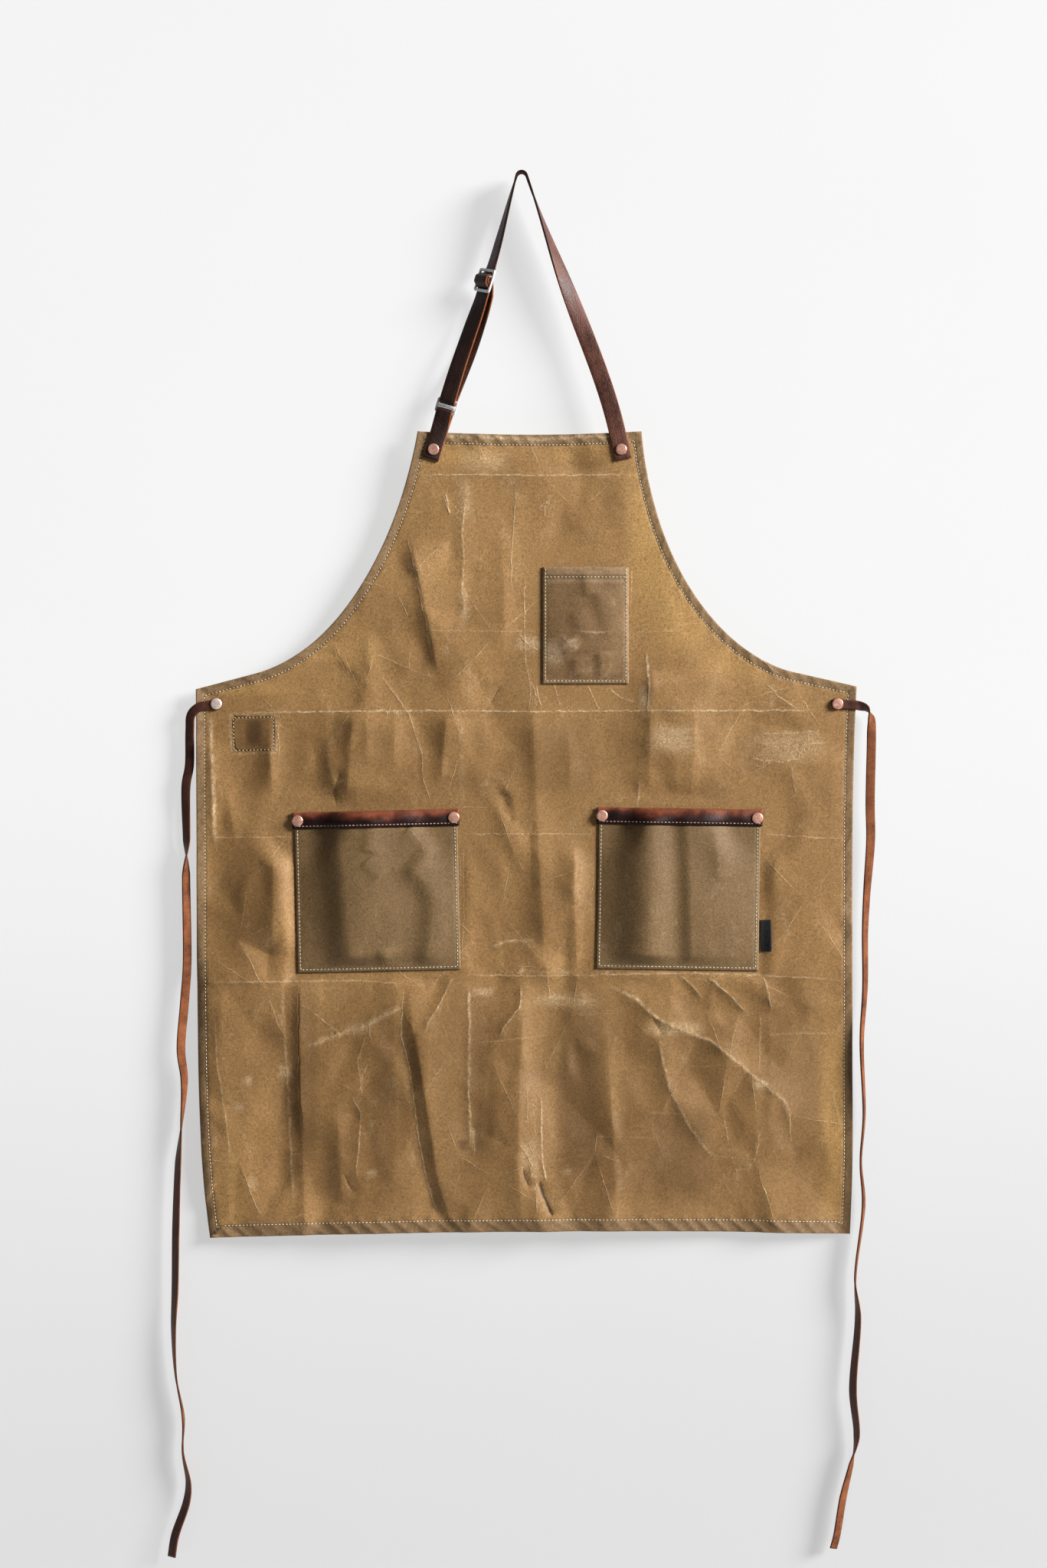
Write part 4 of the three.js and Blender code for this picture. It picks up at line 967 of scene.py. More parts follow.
def trim_of(pocket):
    """The leather strip along a hand pocket's mouth, as a rectangle on the panel"""
    x, z = tilted(pocket, 0, (pocket.height - TRIM_HEIGHT) / 2)
    return Box(x, z, pocket.width + 2 * TRIM_OVERHANG, TRIM_HEIGHT, pocket.tilt)


def trim_rivets(pocket):
    trim = trim_of(pocket)
    reach = trim.width / 2 - TRIM_RIVET_INSET
    return [tilted(trim, -reach, 0), tilted(trim, reach, 0)]


RIVET_SPOTS = [
    *BIB_RIVETS.values(),
    *WAIST_RIVETS.values(),
    *trim_rivets(POCKETS["left"]),
    *trim_rivets(POCKETS["right"]),
]


def away_from_rivets(x, z, low, high):
    free = np.ones(np.shape(x))
    for spot_x, spot_z in RIVET_SPOTS:
        free = free * smoothstep(np.hypot(x - spot_x, z - spot_z), low, high)
    return free


def beside(line, x, z):
    """Signed distance from a line, positive to the right of its direction, and progress along it"""
    nearest = np.full(np.shape(x), np.inf)
    signed = np.zeros(np.shape(x))
    progress = np.zeros(np.shape(x))
    spans = len(line) - 1
    for i, (start, end) in enumerate(zip(line, line[1:])):
        span_x = end[0] - start[0]
        span_z = end[1] - start[1]
        off_x = x - start[0]
        off_z = z - start[1]
        held = np.clip((off_x * span_x + off_z * span_z) / (span_x**2 + span_z**2), 0, 1)
        away = np.hypot(off_x - held * span_x, off_z - held * span_z)
        side = np.where(off_x * span_z - off_z * span_x < 0, 1, -1)
        closer = away < nearest
        nearest = np.where(closer, away, nearest)
        signed = np.where(closer, side * away, signed)
        progress = np.where(closer, (i + held) / spans, progress)
    return signed, progress


def rounded(share):
    return np.exp(-(share**2))


def pinched(share):
    """Cross-section of a fold with a sharp crest"""
    return np.exp(-CREST_FALL * (np.hypot(share, CREST_ROUND) - CREST_ROUND))


def groove(offset, depth, half_width):
    return -depth * rounded(offset / half_width)


def edge_drop(inside, drop, reach):
    """How far a sheet's front falls away towards its edge"""
    return drop * np.exp(-inside / reach)


def ridge(fold_line, x, z, fade, section):
    """Height of a fold or crease, given as its rise, left and right flank and line"""
    rise, left, right, line = fold_line
    offset, progress = beside(line, x, z)
    ends = smoothstep(np.minimum(progress, 1 - progress), 0, fade)
    return rise * ends * section(offset / np.where(offset > 0, right, left))


def calm(x, z):
    """The canvas lies smooth behind pockets and round rivets"""
    free = away_from_rivets(x, z, *CALM_NEAR_RIVET)
    for pocket in POCKETS.values():
        across, up = place_in(pocket, x, z)
        from_middle = np.maximum(abs(across) / (pocket.width / 2), abs(up) / (pocket.height / 2))
        free = free * smoothstep(from_middle, *CALM_AT_POCKET)
    return free


def calm_beside(x, z):
    """Dents and soft folds also end beside the pockets"""
    free = away_from_rivets(x, z, *CALM_NEAR_RIVET)
    for side, pocket in POCKETS.items():
        across, up = place_in(pocket, x, z)
        outside = np.maximum(abs(across) - pocket.width / 2, abs(up) - pocket.height / 2)
        free = free * smoothstep(outside, 0, CALM_BESIDE_POCKET[side])
    return free


def panel_depth(x, z, section=rounded):
    """How far the panel's front stands towards the viewer, with its main folds only"""
    folds = sum(ridge(fold, x, z, FOLD_FADE, section) for fold in FOLDS)
    return folds * calm(x, z) - SIDE_CURL * (x / HALF_WIDTH) ** 2


class Facets:
    """Flat facets between scattered points, as waxed cloth dents"""

    def __init__(self, pitch, height, seed):
        rng = np.random.default_rng(seed)
        (low_x, low_z), (high_x, high_z) = FACET_ENDS
        columns = np.arange(low_x, high_x, pitch)
        rows = np.arange(low_z, high_z, pitch * FACET_STRETCH)
        x, z = np.meshgrid(columns, rows)
        flat = np.column_stack([x.ravel(), z.ravel()])
        flat = flat + rng.uniform(-FACET_SCATTER, FACET_SCATTER, flat.shape) * pitch
        heights = rng.normal(0, height, len(flat))
        self.faces = delaunay_2d_cdt([Vector(point) for point in flat], [], [], 0, 1e-3)[2]
        self.corners = [Vector((at_x, high, at_z)) for (at_x, at_z), high in zip(flat, heights)]
        self.tree = BVHTree.FromPolygons(self.corners, self.faces)

    def depth(self, x, z):
        starts = [Vector((at_x, BEHIND_FACETS, at_z)) for at_x, at_z in zip(np.ravel(x), np.ravel(z))]
        hits = [self.tree.ray_cast(start, FRONT)[0] for start in starts]
        return np.reshape([hit.y for hit in hits], np.shape(x))

    def breaks(self):
        """Edges between two facets, with how far they bend there, outwards or inwards"""
        opposite = {}
        for face in self.faces:
            for i in range(3):
                edge = tuple(sorted((face[i], face[(i + 1) % 3])))
                opposite.setdefault(edge, []).append(face[(i + 2) % 3])
        for (first, second), others in opposite.items():
            if len(others) < 2:
                continue
            start, end = self.corners[first], self.corners[second]
            third, fourth = (self.corners[other] for other in others)
            normal = (end - start).cross(third - start).normalized()
            if normal.y < 0:
                normal.negate()
            bend = -normal.dot(fourth - start) / max((fourth - start).length * 0.5, 1)
            yield [(start.x, start.z), (end.x, end.z)], bend


def fine_crease(line, bend):
    """A faint pale line where two facets meet outwards"""
    (start_x, start_z), (end_x, end_z) = line
    slope = abs(end_z - start_z) / max(abs(end_x - start_x), 0.1)
    family = "upright" if slope > UPRIGHT_SLOPE else "level" if slope < LEVEL_SLOPE else "slant"
    bloom = min(FINE_BLOOM_LIMIT, FINE_BLOOM * bend)
    return Crease(family, 0, 1, 1, bloom, FINE_WIDTH, line, FINE_FADE)


def outline_of(box, inset):
    across = box.width / 2 - inset
    up = box.height / 2 - inset
    corners = [(-across, -up), (across, -up), (across, up), (-across, up), (-across, -up)]
    return [tilted(box, *corner) for corner in corners]


# Along the patch: painted shade down its sunken stitch line, and a painted highlight on the ridge its edge
# makes in the cloth
CREASES.append(Crease("level", 0, 1, 1, -1.3, 1.3, outline_of(PATCH, PATCH_STITCH_INSET), 0.01))
CREASES.append(Crease("slant", 0, 1, 1, 0.26, 2.2, outline_of(PATCH, 0), 0.01))
DENTS = [Facets(*layer) for layer in FACETS]
FINE_CREASES = [fine_crease(line, bend) for line, bend in DENTS[1].breaks() if bend > RIDGE_ANGLE]
CREST_LINES = [fold.crest for fold in FOLDS + SOFT_FOLDS] + [crease.line for crease in CREASES]
CREST_LINES += [line for facets in DENTS[:2] for line, bend in facets.breaks() if abs(bend) > BREAK_ANGLE]


def cloth_depth(x, z):
    """The panel's front with its soft folds, creases and dents, which are fewer on the bib"""
    folds = sum(ridge(fold, x, z, SOFT_FOLD_FADE, pinched) for fold in SOFT_FOLDS)
    creases = sum(ridge((c.rise, c.left, c.right, c.line), x, z, c.fade, pinched) for c in CREASES)
    dents = DENT_LIMIT * np.tanh(sum(facets.depth(x, z) for facets in DENTS) / DENT_LIMIT)
    dents = dents * (BIB_DENTS + SKIRT_DENTS * smoothstep(-z, *DENTS_GROW))
    return panel_depth(x, z, pinched) + (folds + creases + dents) * calm_beside(x, z)


# The apron's outline, as one closed row of points
def bezier(points, count=400):
    shares = np.linspace(0, 1, count)[:, None]
    level = [np.array(point, float) for point in points]
    while len(level) > 1:
        level = [start * (1 - shares) + end * shares for start, end in zip(level, level[1:])]
    return level[0]


def evenly_along(points, pitch):
    """Even places along a row of points, its ends kept"""
    spans = np.linalg.norm(np.diff(points, axis=0), axis=1)
    along = np.concatenate([[0], np.cumsum(spans)])
    steps = max(1, round(along[-1] / pitch))
    at = np.linspace(0, along[-1], steps + 1)
    return np.column_stack([np.interp(at, along, points[:, axis]) for axis in range(points.shape[1])])


def turned_left(directions):
    return np.column_stack([-directions[:, 1], directions[:, 0]])


def unit(rows):
    return rows / np.linalg.norm(rows, axis=1)[:, None]


def tree_of(points):
    """Flat points, to search for the nearest"""
    tree = KDTree(len(points))
    for i, (x, z) in enumerate(points):
        tree.insert((x, z, 0), i)
    tree.balance()
    return tree


class Outline:
    """The panel's edge, walked anticlockwise as seen from the front"""

    def __init__(self):
        left, right = SIDES["left"], SIDES["right"]
        edges = [
            ("armhole", [left["bib"], left["armhole_high"], left["armhole_low"], left["shoulder"]]),
            ("armhole", [left["shoulder"], left["waist"]]),
            ("side", [left["waist"], left["hip"], left["thigh"], left["hem"]]),
            ("bottom", [left["hem"], HEM_EDGE_HANDLE, right["hem"]]),
            ("side", [right["hem"], right["thigh"], right["hip"], right["waist"]]),
            ("armhole", [right["waist"], right["shoulder"]]),
            ("armhole", [right["shoulder"], right["armhole_low"], right["armhole_high"], right["bib"]]),
            ("top", [right["bib"], BIB_EDGE_HANDLE, left["bib"]]),
        ]
        rows = [(kind, evenly_along(bezier(points), EDGE_PITCH)[:-1]) for kind, points in edges]
        self.points = np.concatenate([points for kind, points in rows])
        kinds = [kind for kind, points in rows for point in points]
        self.roping = np.array([ROPING[kind] for kind in kinds])
        self.stitch = np.array([STITCH_INSETS[kind] for kind in kinds])
        self.lift = np.array([HEM_LIFT[kind] for kind in kinds])
        low_left = (self.points[:, 0] < 0) * smoothstep(-self.points[:, 1], *LEFT_HEM_TURNS)
        self.lift = self.lift * (1 - (1 + LEFT_HEM_DROP) * low_left)
        self.lift = np.where(self.points[:, 0] < 0, self.lift, self.lift * RIGHT_HEM_LIFT)
        leaving = np.roll(self.points, -1, axis=0) - self.points
        spans = np.linalg.norm(leaving, axis=1)
        self.along = np.cumsum(spans) - spans
        self.length = spans.sum()
        self.forward = unit(leaving)
        arriving = np.roll(self.forward, 1, axis=0)
        first, second = turned_left(arriving), turned_left(self.forward)
        agree = (first * second).sum(axis=1)
        self.mitre = (first + second) / (1 + agree)[:, None]
        turned = np.flatnonzero(agree < CORNER_COSINE)
        self.corners = [(i, math.tan(math.acos(agree[i]) / 2)) for i in turned]
        self.tree = tree_of(self.points)

    def inset(self, distances):
        """The outline moved inwards, points that would pass a corner's mitre held on it"""
        distances = np.broadcast_to(distances, len(self.points))
        moved = self.points + self.mitre * distances[:, None]
        for corner, reach in self.corners:
            gap = abs(self.along - self.along[corner])
            near = np.minimum(gap, self.length - gap) < distances * reach
            moved[near] = self.points[corner] + self.mitre[corner] * distances[near, None]
        return moved

    def nearest(self, x, z):
        """Distance inside the edge, length along it and number of the nearest point"""
        found = np.array([self.tree.find((at_x, at_z, 0))[1] for at_x, at_z in zip(x, z)])
        from_point = np.column_stack([x, z]) - self.points[found]
        step = (from_point * self.forward[found]).sum(axis=1)
        inward = (from_point * turned_left(self.forward)[found]).sum(axis=1)
        return inward, self.along[found] + step, found


OUTLINE = Outline()


def lumps(along, length, layer):
    """Noise along an edge, in lumps of about a length"""
    return np.array([noise.noise((at / length, layer, 0.5)) for at in along])


def hem_relief(inside, along, near):
    """Roping of a hem, and the groove along its stitches"""
    stitch = OUTLINE.stitch[near]
    strength = ROPING_STRENGTH + ROPING_STRENGTH_CHANGE * lumps(along, ROPING_STRENGTH_LENGTH, layer=9.5)
    drift = ROPING_DRIFT * lumps(along, ROPING_DRIFT_LENGTH, layer=3.5)
    phase = math.tau * (along + ROPING_SLANT * inside) / ROPING_LENGTH + drift
    # Narrow crests between broad hollows
    wave = 1.6 * np.exp(2 * (np.cos(phase) - 1)) - 0.4
    window = 1 - smoothstep(inside, stitch + ROPING_ENDS[0], stitch + ROPING_ENDS[1])
    lift = OUTLINE.lift[near] * np.exp(-np.maximum(inside, 0) / HEM_LIFT_REACH)
    ripples = OUTLINE.roping[near] * strength * wave * window
    return groove(inside - stitch, *HEM_GROOVE) + lift + ripples


def body_depth(x, z):
    """The panel's front with its creases and hems"""
    inside, along, near = OUTLINE.nearest(x, z)
    return cloth_depth(x, z) + hem_relief(inside, along, near)


# Making pieces
def finish_piece(name, mesh, materials, slot, replaced=()):
    piece = bpy.data.objects.new(name, mesh)
    bpy.context.scene.collection.objects.link(piece)
    for material in materials:
        mesh.materials.append(material)
    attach(piece, BODY)
    if replaced:
        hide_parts(*replaced)
    return piece


def mesh_from(bm, name):
    """A bmesh in millimetres as a smooth mesh in metres"""
    bmesh.ops.scale(bm, vec=(MM, MM, MM), verts=bm.verts)
    mesh = bpy.data.meshes.new(name)
    bm.to_mesh(mesh)
    bm.free()
    mesh.shade_smooth()
    return mesh


def store(mesh, name, values):
    """A value or vector for each vertex"""
    values = np.asarray(values, float)
    kind = "FLOAT_VECTOR" if values.ndim == 2 else "FLOAT"
    field = "vector" if values.ndim == 2 else "value"
    mesh.attributes.new(name, kind, "POINT").data.foreach_set(field, values.ravel())


def thicken(piece, thickness):
    """A sheet's thickness, behind the face it was made with"""
    solidify = piece.modifiers.new("thickness", "SOLIDIFY")
    solidify.thickness = thickness * MM
    solidify.offset = -1


def spot_amount(spots, x, z):
    amount = np.zeros(np.shape(x))
    for spot in spots:
        away = (((x - spot.x) / spot.half_width) ** 4 + ((z - spot.z) / spot.half_height) ** 4) ** 0.25
        amount = np.maximum(amount, spot.amount * (1 - smoothstep(away, *SPOT_FADE)))
    return amount


# Per vertex: pale scuffs, painted glow and painted shade
def store_wear_and_painted_light(mesh, x, z, shade=0.0):
    shade = shade + spot_amount(PAINTED_SHADE_SPOTS, x, z)
    store(mesh, "wear_and_painted_light", np.column_stack([spot_amount(SCUFFS, x, z), spot_amount(PAINTED_GLOW_SPOTS, x, z), shade]))


def store_creases(mesh, x, z, creases):
    """For each family of creases the offset from the nearest line, its weight and its half width"""
    for family in FAMILIES:
        best = np.full(np.shape(x), np.inf)
        lines = np.zeros((len(x), 3))
        for crease in creases:
            if crease.family != family:
                continue
            offset, progress = beside(crease.line, x, z)
            ends = smoothstep(np.minimum(progress, 1 - progress), 0, crease.fade)
            weight = crease.bloom * ends * (1 - smoothstep(abs(offset), CREASE_HOLD, CREASE_REACH))
            closer = abs(offset) < best
            best = np.where(closer, abs(offset), best)
            lines[closer] = np.column_stack([offset, weight, np.full(len(x), crease.width)])[closer]
        store(mesh, "crease_" + family, lines)


def sheet_grid(box, pitch, depth_at):
    """A flat rectangle of cloth laid on a depth; its bmesh and each vertex's x, z, across and up"""
    bm = bmesh.new()
    columns = max(2, round(box.width / pitch))
    rows = max(2, round(box.height / pitch))
    bmesh.ops.create_grid(bm, x_segments=columns, y_segments=rows, size=0.5)
    flat = np.array([vert.co for vert in bm.verts])
    across, up = flat[:, 0] * box.width, flat[:, 1] * box.height
    x, z = tilted(box, across, up)
    depth = depth_at(x, z)
    for vert, at_x, at_z, out in zip(bm.verts, x, z, depth):
        vert.co = (at_x, -out, at_z)
    return bm, x, z, across, up


# Camera, square to the panel at the photograph's distance
def make_camera():
    camera_data = bpy.data.cameras.new("camera")
    camera_data.sensor_fit = "VERTICAL"
    camera_data.sensor_height = SENSOR
    camera_data.lens = LENS
    camera = bpy.data.objects.new("camera", camera_data)
    bpy.context.scene.collection.objects.link(camera)
    distance = LENS / SENSOR * PHOTO_SIZE[1] * PHOTO_SCALE
    middle_x = (PHOTO_SIZE[0] / 2 - PHOTO_ORIGIN[0]) * PHOTO_SCALE
    middle_z = -(PHOTO_SIZE[1] / 2 - PHOTO_ORIGIN[1]) * PHOTO_SCALE
    camera.location = (middle_x * MM, -distance * MM, middle_z * MM)
    camera.rotation_euler = (math.pi / 2, 0, 0)
    bpy.context.scene.camera = camera


make_camera()


# Leather strips lofted through cross-sections
Section = namedtuple("Section", "place width thickness half_width half_thickness")
# Points round a section: share of the flat reach across and up, and of the corner's radius
CORNER_RING = [
    (1, 0, 1, 0), (1, 1, 1, 0), (1, 1, 0.7, 0.7), (1, 1, 0, 1), (0.4, 1, 0, 1), (-0.4, 1, 0, 1),
    (-1, 1, 0, 1), (-1, 1, -0.7, 0.7), (-1, 1, -1, 0), (-1, 0, -1, 0), (-1, -1, -1, 0), (-1, -1, -0.7, -0.7),
    (-1, -1, 0, -1), (-0.4, -1, 0, -1), (0.4, -1, 0, -1), (1, -1, 0, -1), (1, -1, 0.7, -0.7), (1, -1, 1, 0),
]
GRAIN_SIDE, FLESH_SIDE, CUT_SIDE = 0, 1, 2


def ring_side(first, second):
    """Which finish lies between two points of the ring"""
    if first[3] == second[3] == 1:
        return GRAIN_SIDE
    if first[3] == second[3] == -1:
        return FLESH_SIDE
    return CUT_SIDE


def loft(sections, corner):
    """A closed strip: a grid whose columns go round the section, joined where they meet"""
    around = len(CORNER_RING)
    spans = len(sections) - 1
    bm = bmesh.new()
    bmesh.ops.create_grid(bm, x_segments=around, y_segments=spans, size=0.5)
    for face in bm.faces:
        column = int((face.calc_center_median().x + 0.5) * around)
        face.material_index = ring_side(CORNER_RING[column], CORNER_RING[(column + 1) % around])
    for vert in bm.verts:
        flat_x, flat_y, round_x, round_y = CORNER_RING[round((vert.co.x + 0.5) * around) % around]
        section = sections[round((vert.co.y + 0.5) * spans)]
        across = flat_x * max(section.half_width - corner, 0) + round_x * min(corner, section.half_width)
        up = flat_y * (section.half_thickness - corner) + round_y * corner
        vert.co = section.place + section.width * across + section.thickness * up
    bmesh.ops.remove_doubles(bm, verts=bm.verts, dist=1e-4)
    caps = bmesh.ops.holes_fill(bm, edges=bm.edges, sides=0)["faces"]
    for face in caps:
        face.material_index = CUT_SIDE
    bmesh.ops.recalc_face_normals(bm, faces=bm.faces)
    return bm


def evenly(start, end, step):
    steps = max(1, math.ceil(abs(end - start) / step))
    return [start + (end - start) * i / steps for i in range(steps + 1)]


# Waist ties, the two free cords
def catmull_rom(points, share):
    """A place on the centripetal curve through the points, share counted in points"""
    row = min(int(share), len(points) - 2)
    first = points[row - 1] if row else 2 * points[0] - points[1]
    last = points[row + 2] if row + 2 < len(points) else 2 * points[-1] - points[-2]
    knots = [first, points[row], points[row + 1], last]
    spans = [(knots[i + 1] - knots[i]).length ** 0.5 for i in range(3)]
    slopes = []
    for i in (0, 1):
        before, here, after = knots[i : i + 3]
        slope = (here - before) / spans[i] - (after - before) / (spans[i] + spans[i + 1])
        slopes.append((slope + (after - here) / spans[i + 1]) * spans[1])
    start, end = knots[1], knots[2]
    t = share - row
    turn = -3 * start + 3 * end - 2 * slopes[0] - slopes[1]
    swing = 2 * start - 2 * end + slopes[0] + slopes[1]
    return start + slopes[0] * t + turn * t * t + swing * t * t * t


def tie_width(at):
    from_rivet = abs(TIE_HEAD_RADIUS - at)
    across = 2 * math.sqrt(max(0, TIE_HEAD_RADIUS**2 - from_rivet**2))
    return across if at < TIE_HEAD_RADIUS else max(across, TIE_WIDTH)


def tie_route(side):
    """Even places along a tie with the turn of the lace at each, and its length"""
    rows = np.array(TIES[side], float)
    points = [Vector(row[:3]) for row in rows]
    spans = len(rows) - 1
    shares = np.linspace(0, spans, TIE_SAMPLES * spans + 1)
    dense = np.array([catmull_rom(points, share) for share in shares])
    turns = np.interp(shares, range(len(rows)), rows[:, 3])
    length = np.linalg.norm(np.diff(dense, axis=0), axis=1).sum()
    return evenly_along(np.column_stack([dense, turns]), TIE_STEP), length


def make_tie(side):
    route, length = tie_route(side)
    places = route[:, :3]
    tangents = unit(np.gradient(places, axis=0))
    sections = []
    for i, (place, tangent) in enumerate(zip(places, tangents)):
        tangent = Vector(tangent)
        width = FRONT.cross(tangent).normalized()
        width.rotate(Quaternion(tangent, math.radians(route[i, 3])))
        half_width = tie_width(max(i * TIE_STEP, TIE_START)) / 2
        sections.append(Section(Vector(place), width, tangent.cross(width), half_width, TIE_THICKNESS / 2))
    name = side + "_tie_lace"
    mesh = mesh_from(loft(sections, TIE_CORNER), name)
    piece = finish_piece(name, mesh, (LACE_GRAIN, FLESH, LACE_EDGE), "lace", ["waist_tie_" + side])
    path = [tuple(place * MM) for place in places]
    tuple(path[0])


make_tie("left")
make_tie("right")


# The canvas body: rows along its edge, even points within, and the edge turned to the back
def crest_points():
    """Two close rows of points along every line where the cloth breaks, one to a square millimetre"""
    rows = []
    for line in CREST_LINES:
        points = evenly_along(np.array(line, float), CREST_PITCH)
        aside = turned_left(unit(np.gradient(points, axis=0))) * CREST_HALF_WIDTH
        rows += [points + aside, points - aside]
    points = np.concatenate(rows)
    points = points[calm_beside(points[:, 0], points[:, 1]) > CREST_FREE]
    return points[np.unique(np.floor(points), axis=0, return_index=True)[1]]


def body_points():
    """The edge's points first, then the rows inside it, along its crests and the staggered points between"""
    rows = [OUTLINE.inset(distance) for distance in HEM_INSETS]
    low, high = OUTLINE.points.min(axis=0), OUTLINE.points.max(axis=0)
    columns = np.arange(low[0], high[0], CLOTH_PITCH)
    staggered = []
    for i, z in enumerate(np.arange(low[1], high[1], CLOTH_PITCH * ROW_SPACING)):
        shifted = columns + CLOTH_PITCH / 2 * (i % 2)
        staggered.append(np.column_stack([shifted, np.full(len(columns), z)]))
    crests = crest_points()
    tree = tree_of(crests)
    middle = np.concatenate(staggered)
    middle = middle[[tree.find((x, z, 0))[2] > CLOTH_PITCH * CREST_CLEARANCE for x, z in middle]]
    middle = np.concatenate([crests, middle])
    inside = OUTLINE.nearest(middle[:, 0], middle[:, 1])[0]
    middle = middle[inside > HEM_INSETS[-1] + CLOTH_PITCH / 2]
    inner = np.unique(np.round(np.concatenate(rows[1:]), 2), axis=0)
    return np.concatenate([rows[0], inner, middle])


def make_body():
    flat = body_points()
    count = len(OUTLINE.points)
    loop = [(i, (i + 1) % count) for i in range(count)]
    filled = delaunay_2d_cdt([Vector(point) for point in flat], loop, [], 1, 1e-5)
    flat = np.array([tuple(point) for point in filled[0]])
    faces = [tuple(face) for face in filled[2]]
    x, z = flat[:, 0], flat[:, 1]
    inside, along, near = OUTLINE.nearest(x, z)
    depth = cloth_depth(x, z) + hem_relief(inside, along, near) - edge_drop(inside, *HEM_EDGE_DROP)
    places = [np.column_stack([x, -depth, z])]
    edge = [inside * HEM_STITCH_INSET / OUTLINE.stitch[near]]
    scale = OUTLINE.stitch / HEM_STITCH_INSET
    every = np.arange(count)
    first = 0
    for inset, behind in HEM_TURN:
        distance = inset * scale if inset > 0 else np.full(count, inset)
        row = OUTLINE.inset(distance)
        front = cloth_depth(row[:, 0], row[:, 1]) + hem_relief(np.maximum(distance, 0), OUTLINE.along, every)
        places.append(np.column_stack([row[:, 0], behind - front, row[:, 1]]))
        edge.append(np.full(count, max(inset, 0)))
        start = len(flat) if first == 0 else first + count
        faces += [(first + b, first + a, start + a, start + b) for a, b in loop]
        first = start
    places = np.concatenate(places)
    mesh = bpy.data.meshes.new("canvas_body")
    mesh.from_pydata(places * MM, [], faces)
    mesh.shade_smooth()
    x, z = places[:, 0], places[:, 2]
    store(mesh, "edge", np.concatenate(edge))
    across, up = place_in(PATCH, x, z)
    over_patch = np.maximum(abs(across) - PATCH.width / 2, abs(up) - PATCH.height / 2)
    store_wear_and_painted_light(mesh, x, z, PATCH_SHADE * (1 - smoothstep(over_patch, *PATCH_SHADE_ENDS)))
    store_creases(mesh, x, z, CREASES + FINE_CREASES)
    piece = finish_piece("canvas_body", mesh, [PANEL_CANVAS], "canvas", ["body_panel"])
    thicken(piece, CLOTH)


# Patch pockets of doubled canvas
def pocket_place(box, x, z):
    across, up = place_in(box, x, z)
    return across / (box.width / 2), up / (box.height / 2)


def pocket_bulge(box, x, z):
    """How far a pocket's cloth stands off the panel: nothing at its seams and rivets, most at its mouth"""
    across, up = pocket_place(box, x, z)
    sideways = np.maximum(0, 1 - across**2) ** POCKET_ROUNDNESS
    held = away_from_rivets(x, z, *POCKET_HELD_NEAR_RIVET)
    return box.mouth * sideways * smoothstep(up, *POCKET_OPENS) * held


def pocket_folds(side, x, z):
    """Folds and rumples, which end at the side seams, the bottom and the rivets"""
    across, up = pocket_place(POCKETS[side], x, z)
    free = np.maximum(0, 1 - across**4) * smoothstep(up, *POCKET_FOLDS_START)
    free = free * away_from_rivets(x, z, *POCKET_FOLDS_NEAR_RIVET)
    folds = sum(ridge(fold, x, z, POCKET_FOLD_FADE, rounded) for fold in POCKET_FOLDS[side])
    rumple = np.zeros(np.shape(x))
    for height, wide, high, layer in RUMPLES:
        places = [(at_x / wide, layer, at_z / high) for at_x, at_z in zip(x, z)]
        rumple = rumple + height * np.array([noise.noise(place) for place in places])
    return (folds + rumple) * free


def pocket_front(side, x, z):
    """A pocket's front without the shaping of its edges"""
    box = POCKETS[side]
    bulge = POCKET_BULGE_SHARE * pocket_bulge(box, x, z)
    return panel_depth(x, z) + POCKET_STAND + bulge + pocket_folds(side, x, z)


def seam_distance(side, across, up):
    """Distance inside a pocket's sewn edges; the chest pocket's hem counts as one"""
    box = POCKETS[side]
    inside = np.minimum(box.width / 2 - abs(across), box.height / 2 + up)
    if side == "chest":
        inside = np.minimum(inside, (box.height / 2 - up) * POCKET_STITCH_INSET / CHEST_HEM)
    return inside


def pocket_surface(side, x, z):
    """A pocket's front with its rounded edges and the groove along its stitches"""
    across, up = place_in(POCKETS[side], x, z)
    inside = seam_distance(side, across, up)
    sewn = groove(inside - POCKET_STITCH_INSET, *POCKET_GROOVE)
    swell = EDGE_SWELL * rounded((inside - EDGE_SWELL_INSET) / EDGE_SWELL_WIDTH)
    return pocket_front(side, x, z) + sewn + swell - edge_drop(inside, *POCKET_EDGE_DROP)


def sew_on(piece, box, thickness):
    """Thickness of a sheet that is sewn flat on another; its cut size is worked out but not used"""
    thicken(piece, thickness)
    cut = (box.width * MM, box.height * MM)


def make_pocket(side):
    box = POCKETS[side]
    name = side + "_pocket_cloth"
    bm, x, z, across, up = sheet_grid(box, POCKET_PITCH, lambda x, z: pocket_surface(side, x, z))
    mesh = mesh_from(bm, name)
    store(mesh, "edge", seam_distance(side, across, up))
    store_wear_and_painted_light(mesh, x, z)
    store_creases(mesh, x, z, POCKET_CREASES[side])
    material, slot = (CHEST_CANVAS, "canvas") if side == "chest" else (POCKET_CANVAS, "pocket_canvas")
    piece = finish_piece(name, mesh, [material], slot, [side + "_pocket"])
    sew_on(piece, box, POCKET_CLOTH)


def trim_surface(side, x, z):
    trim = trim_of(POCKETS[side])
    across, up = place_in(trim, x, z)
    from_end = trim.width / 2 - abs(across)
    inside = np.minimum(from_end, trim.height / 2 - abs(up))
    sewn = groove(trim.height / 2 + up - TRIM_STITCH_INSET, *TRIM_GROOVE)
    crown = TRIM_CROWN * (1 - (2 * up / trim.height) ** 2) * smoothstep(from_end, *TRIM_CROWN_ENDS)
    front = pocket_front(side, x, z) + TRIM_GAP + TRIM_THICKNESS
    return front + crown + sewn - edge_drop(inside, *TRIM_EDGE_DROP)


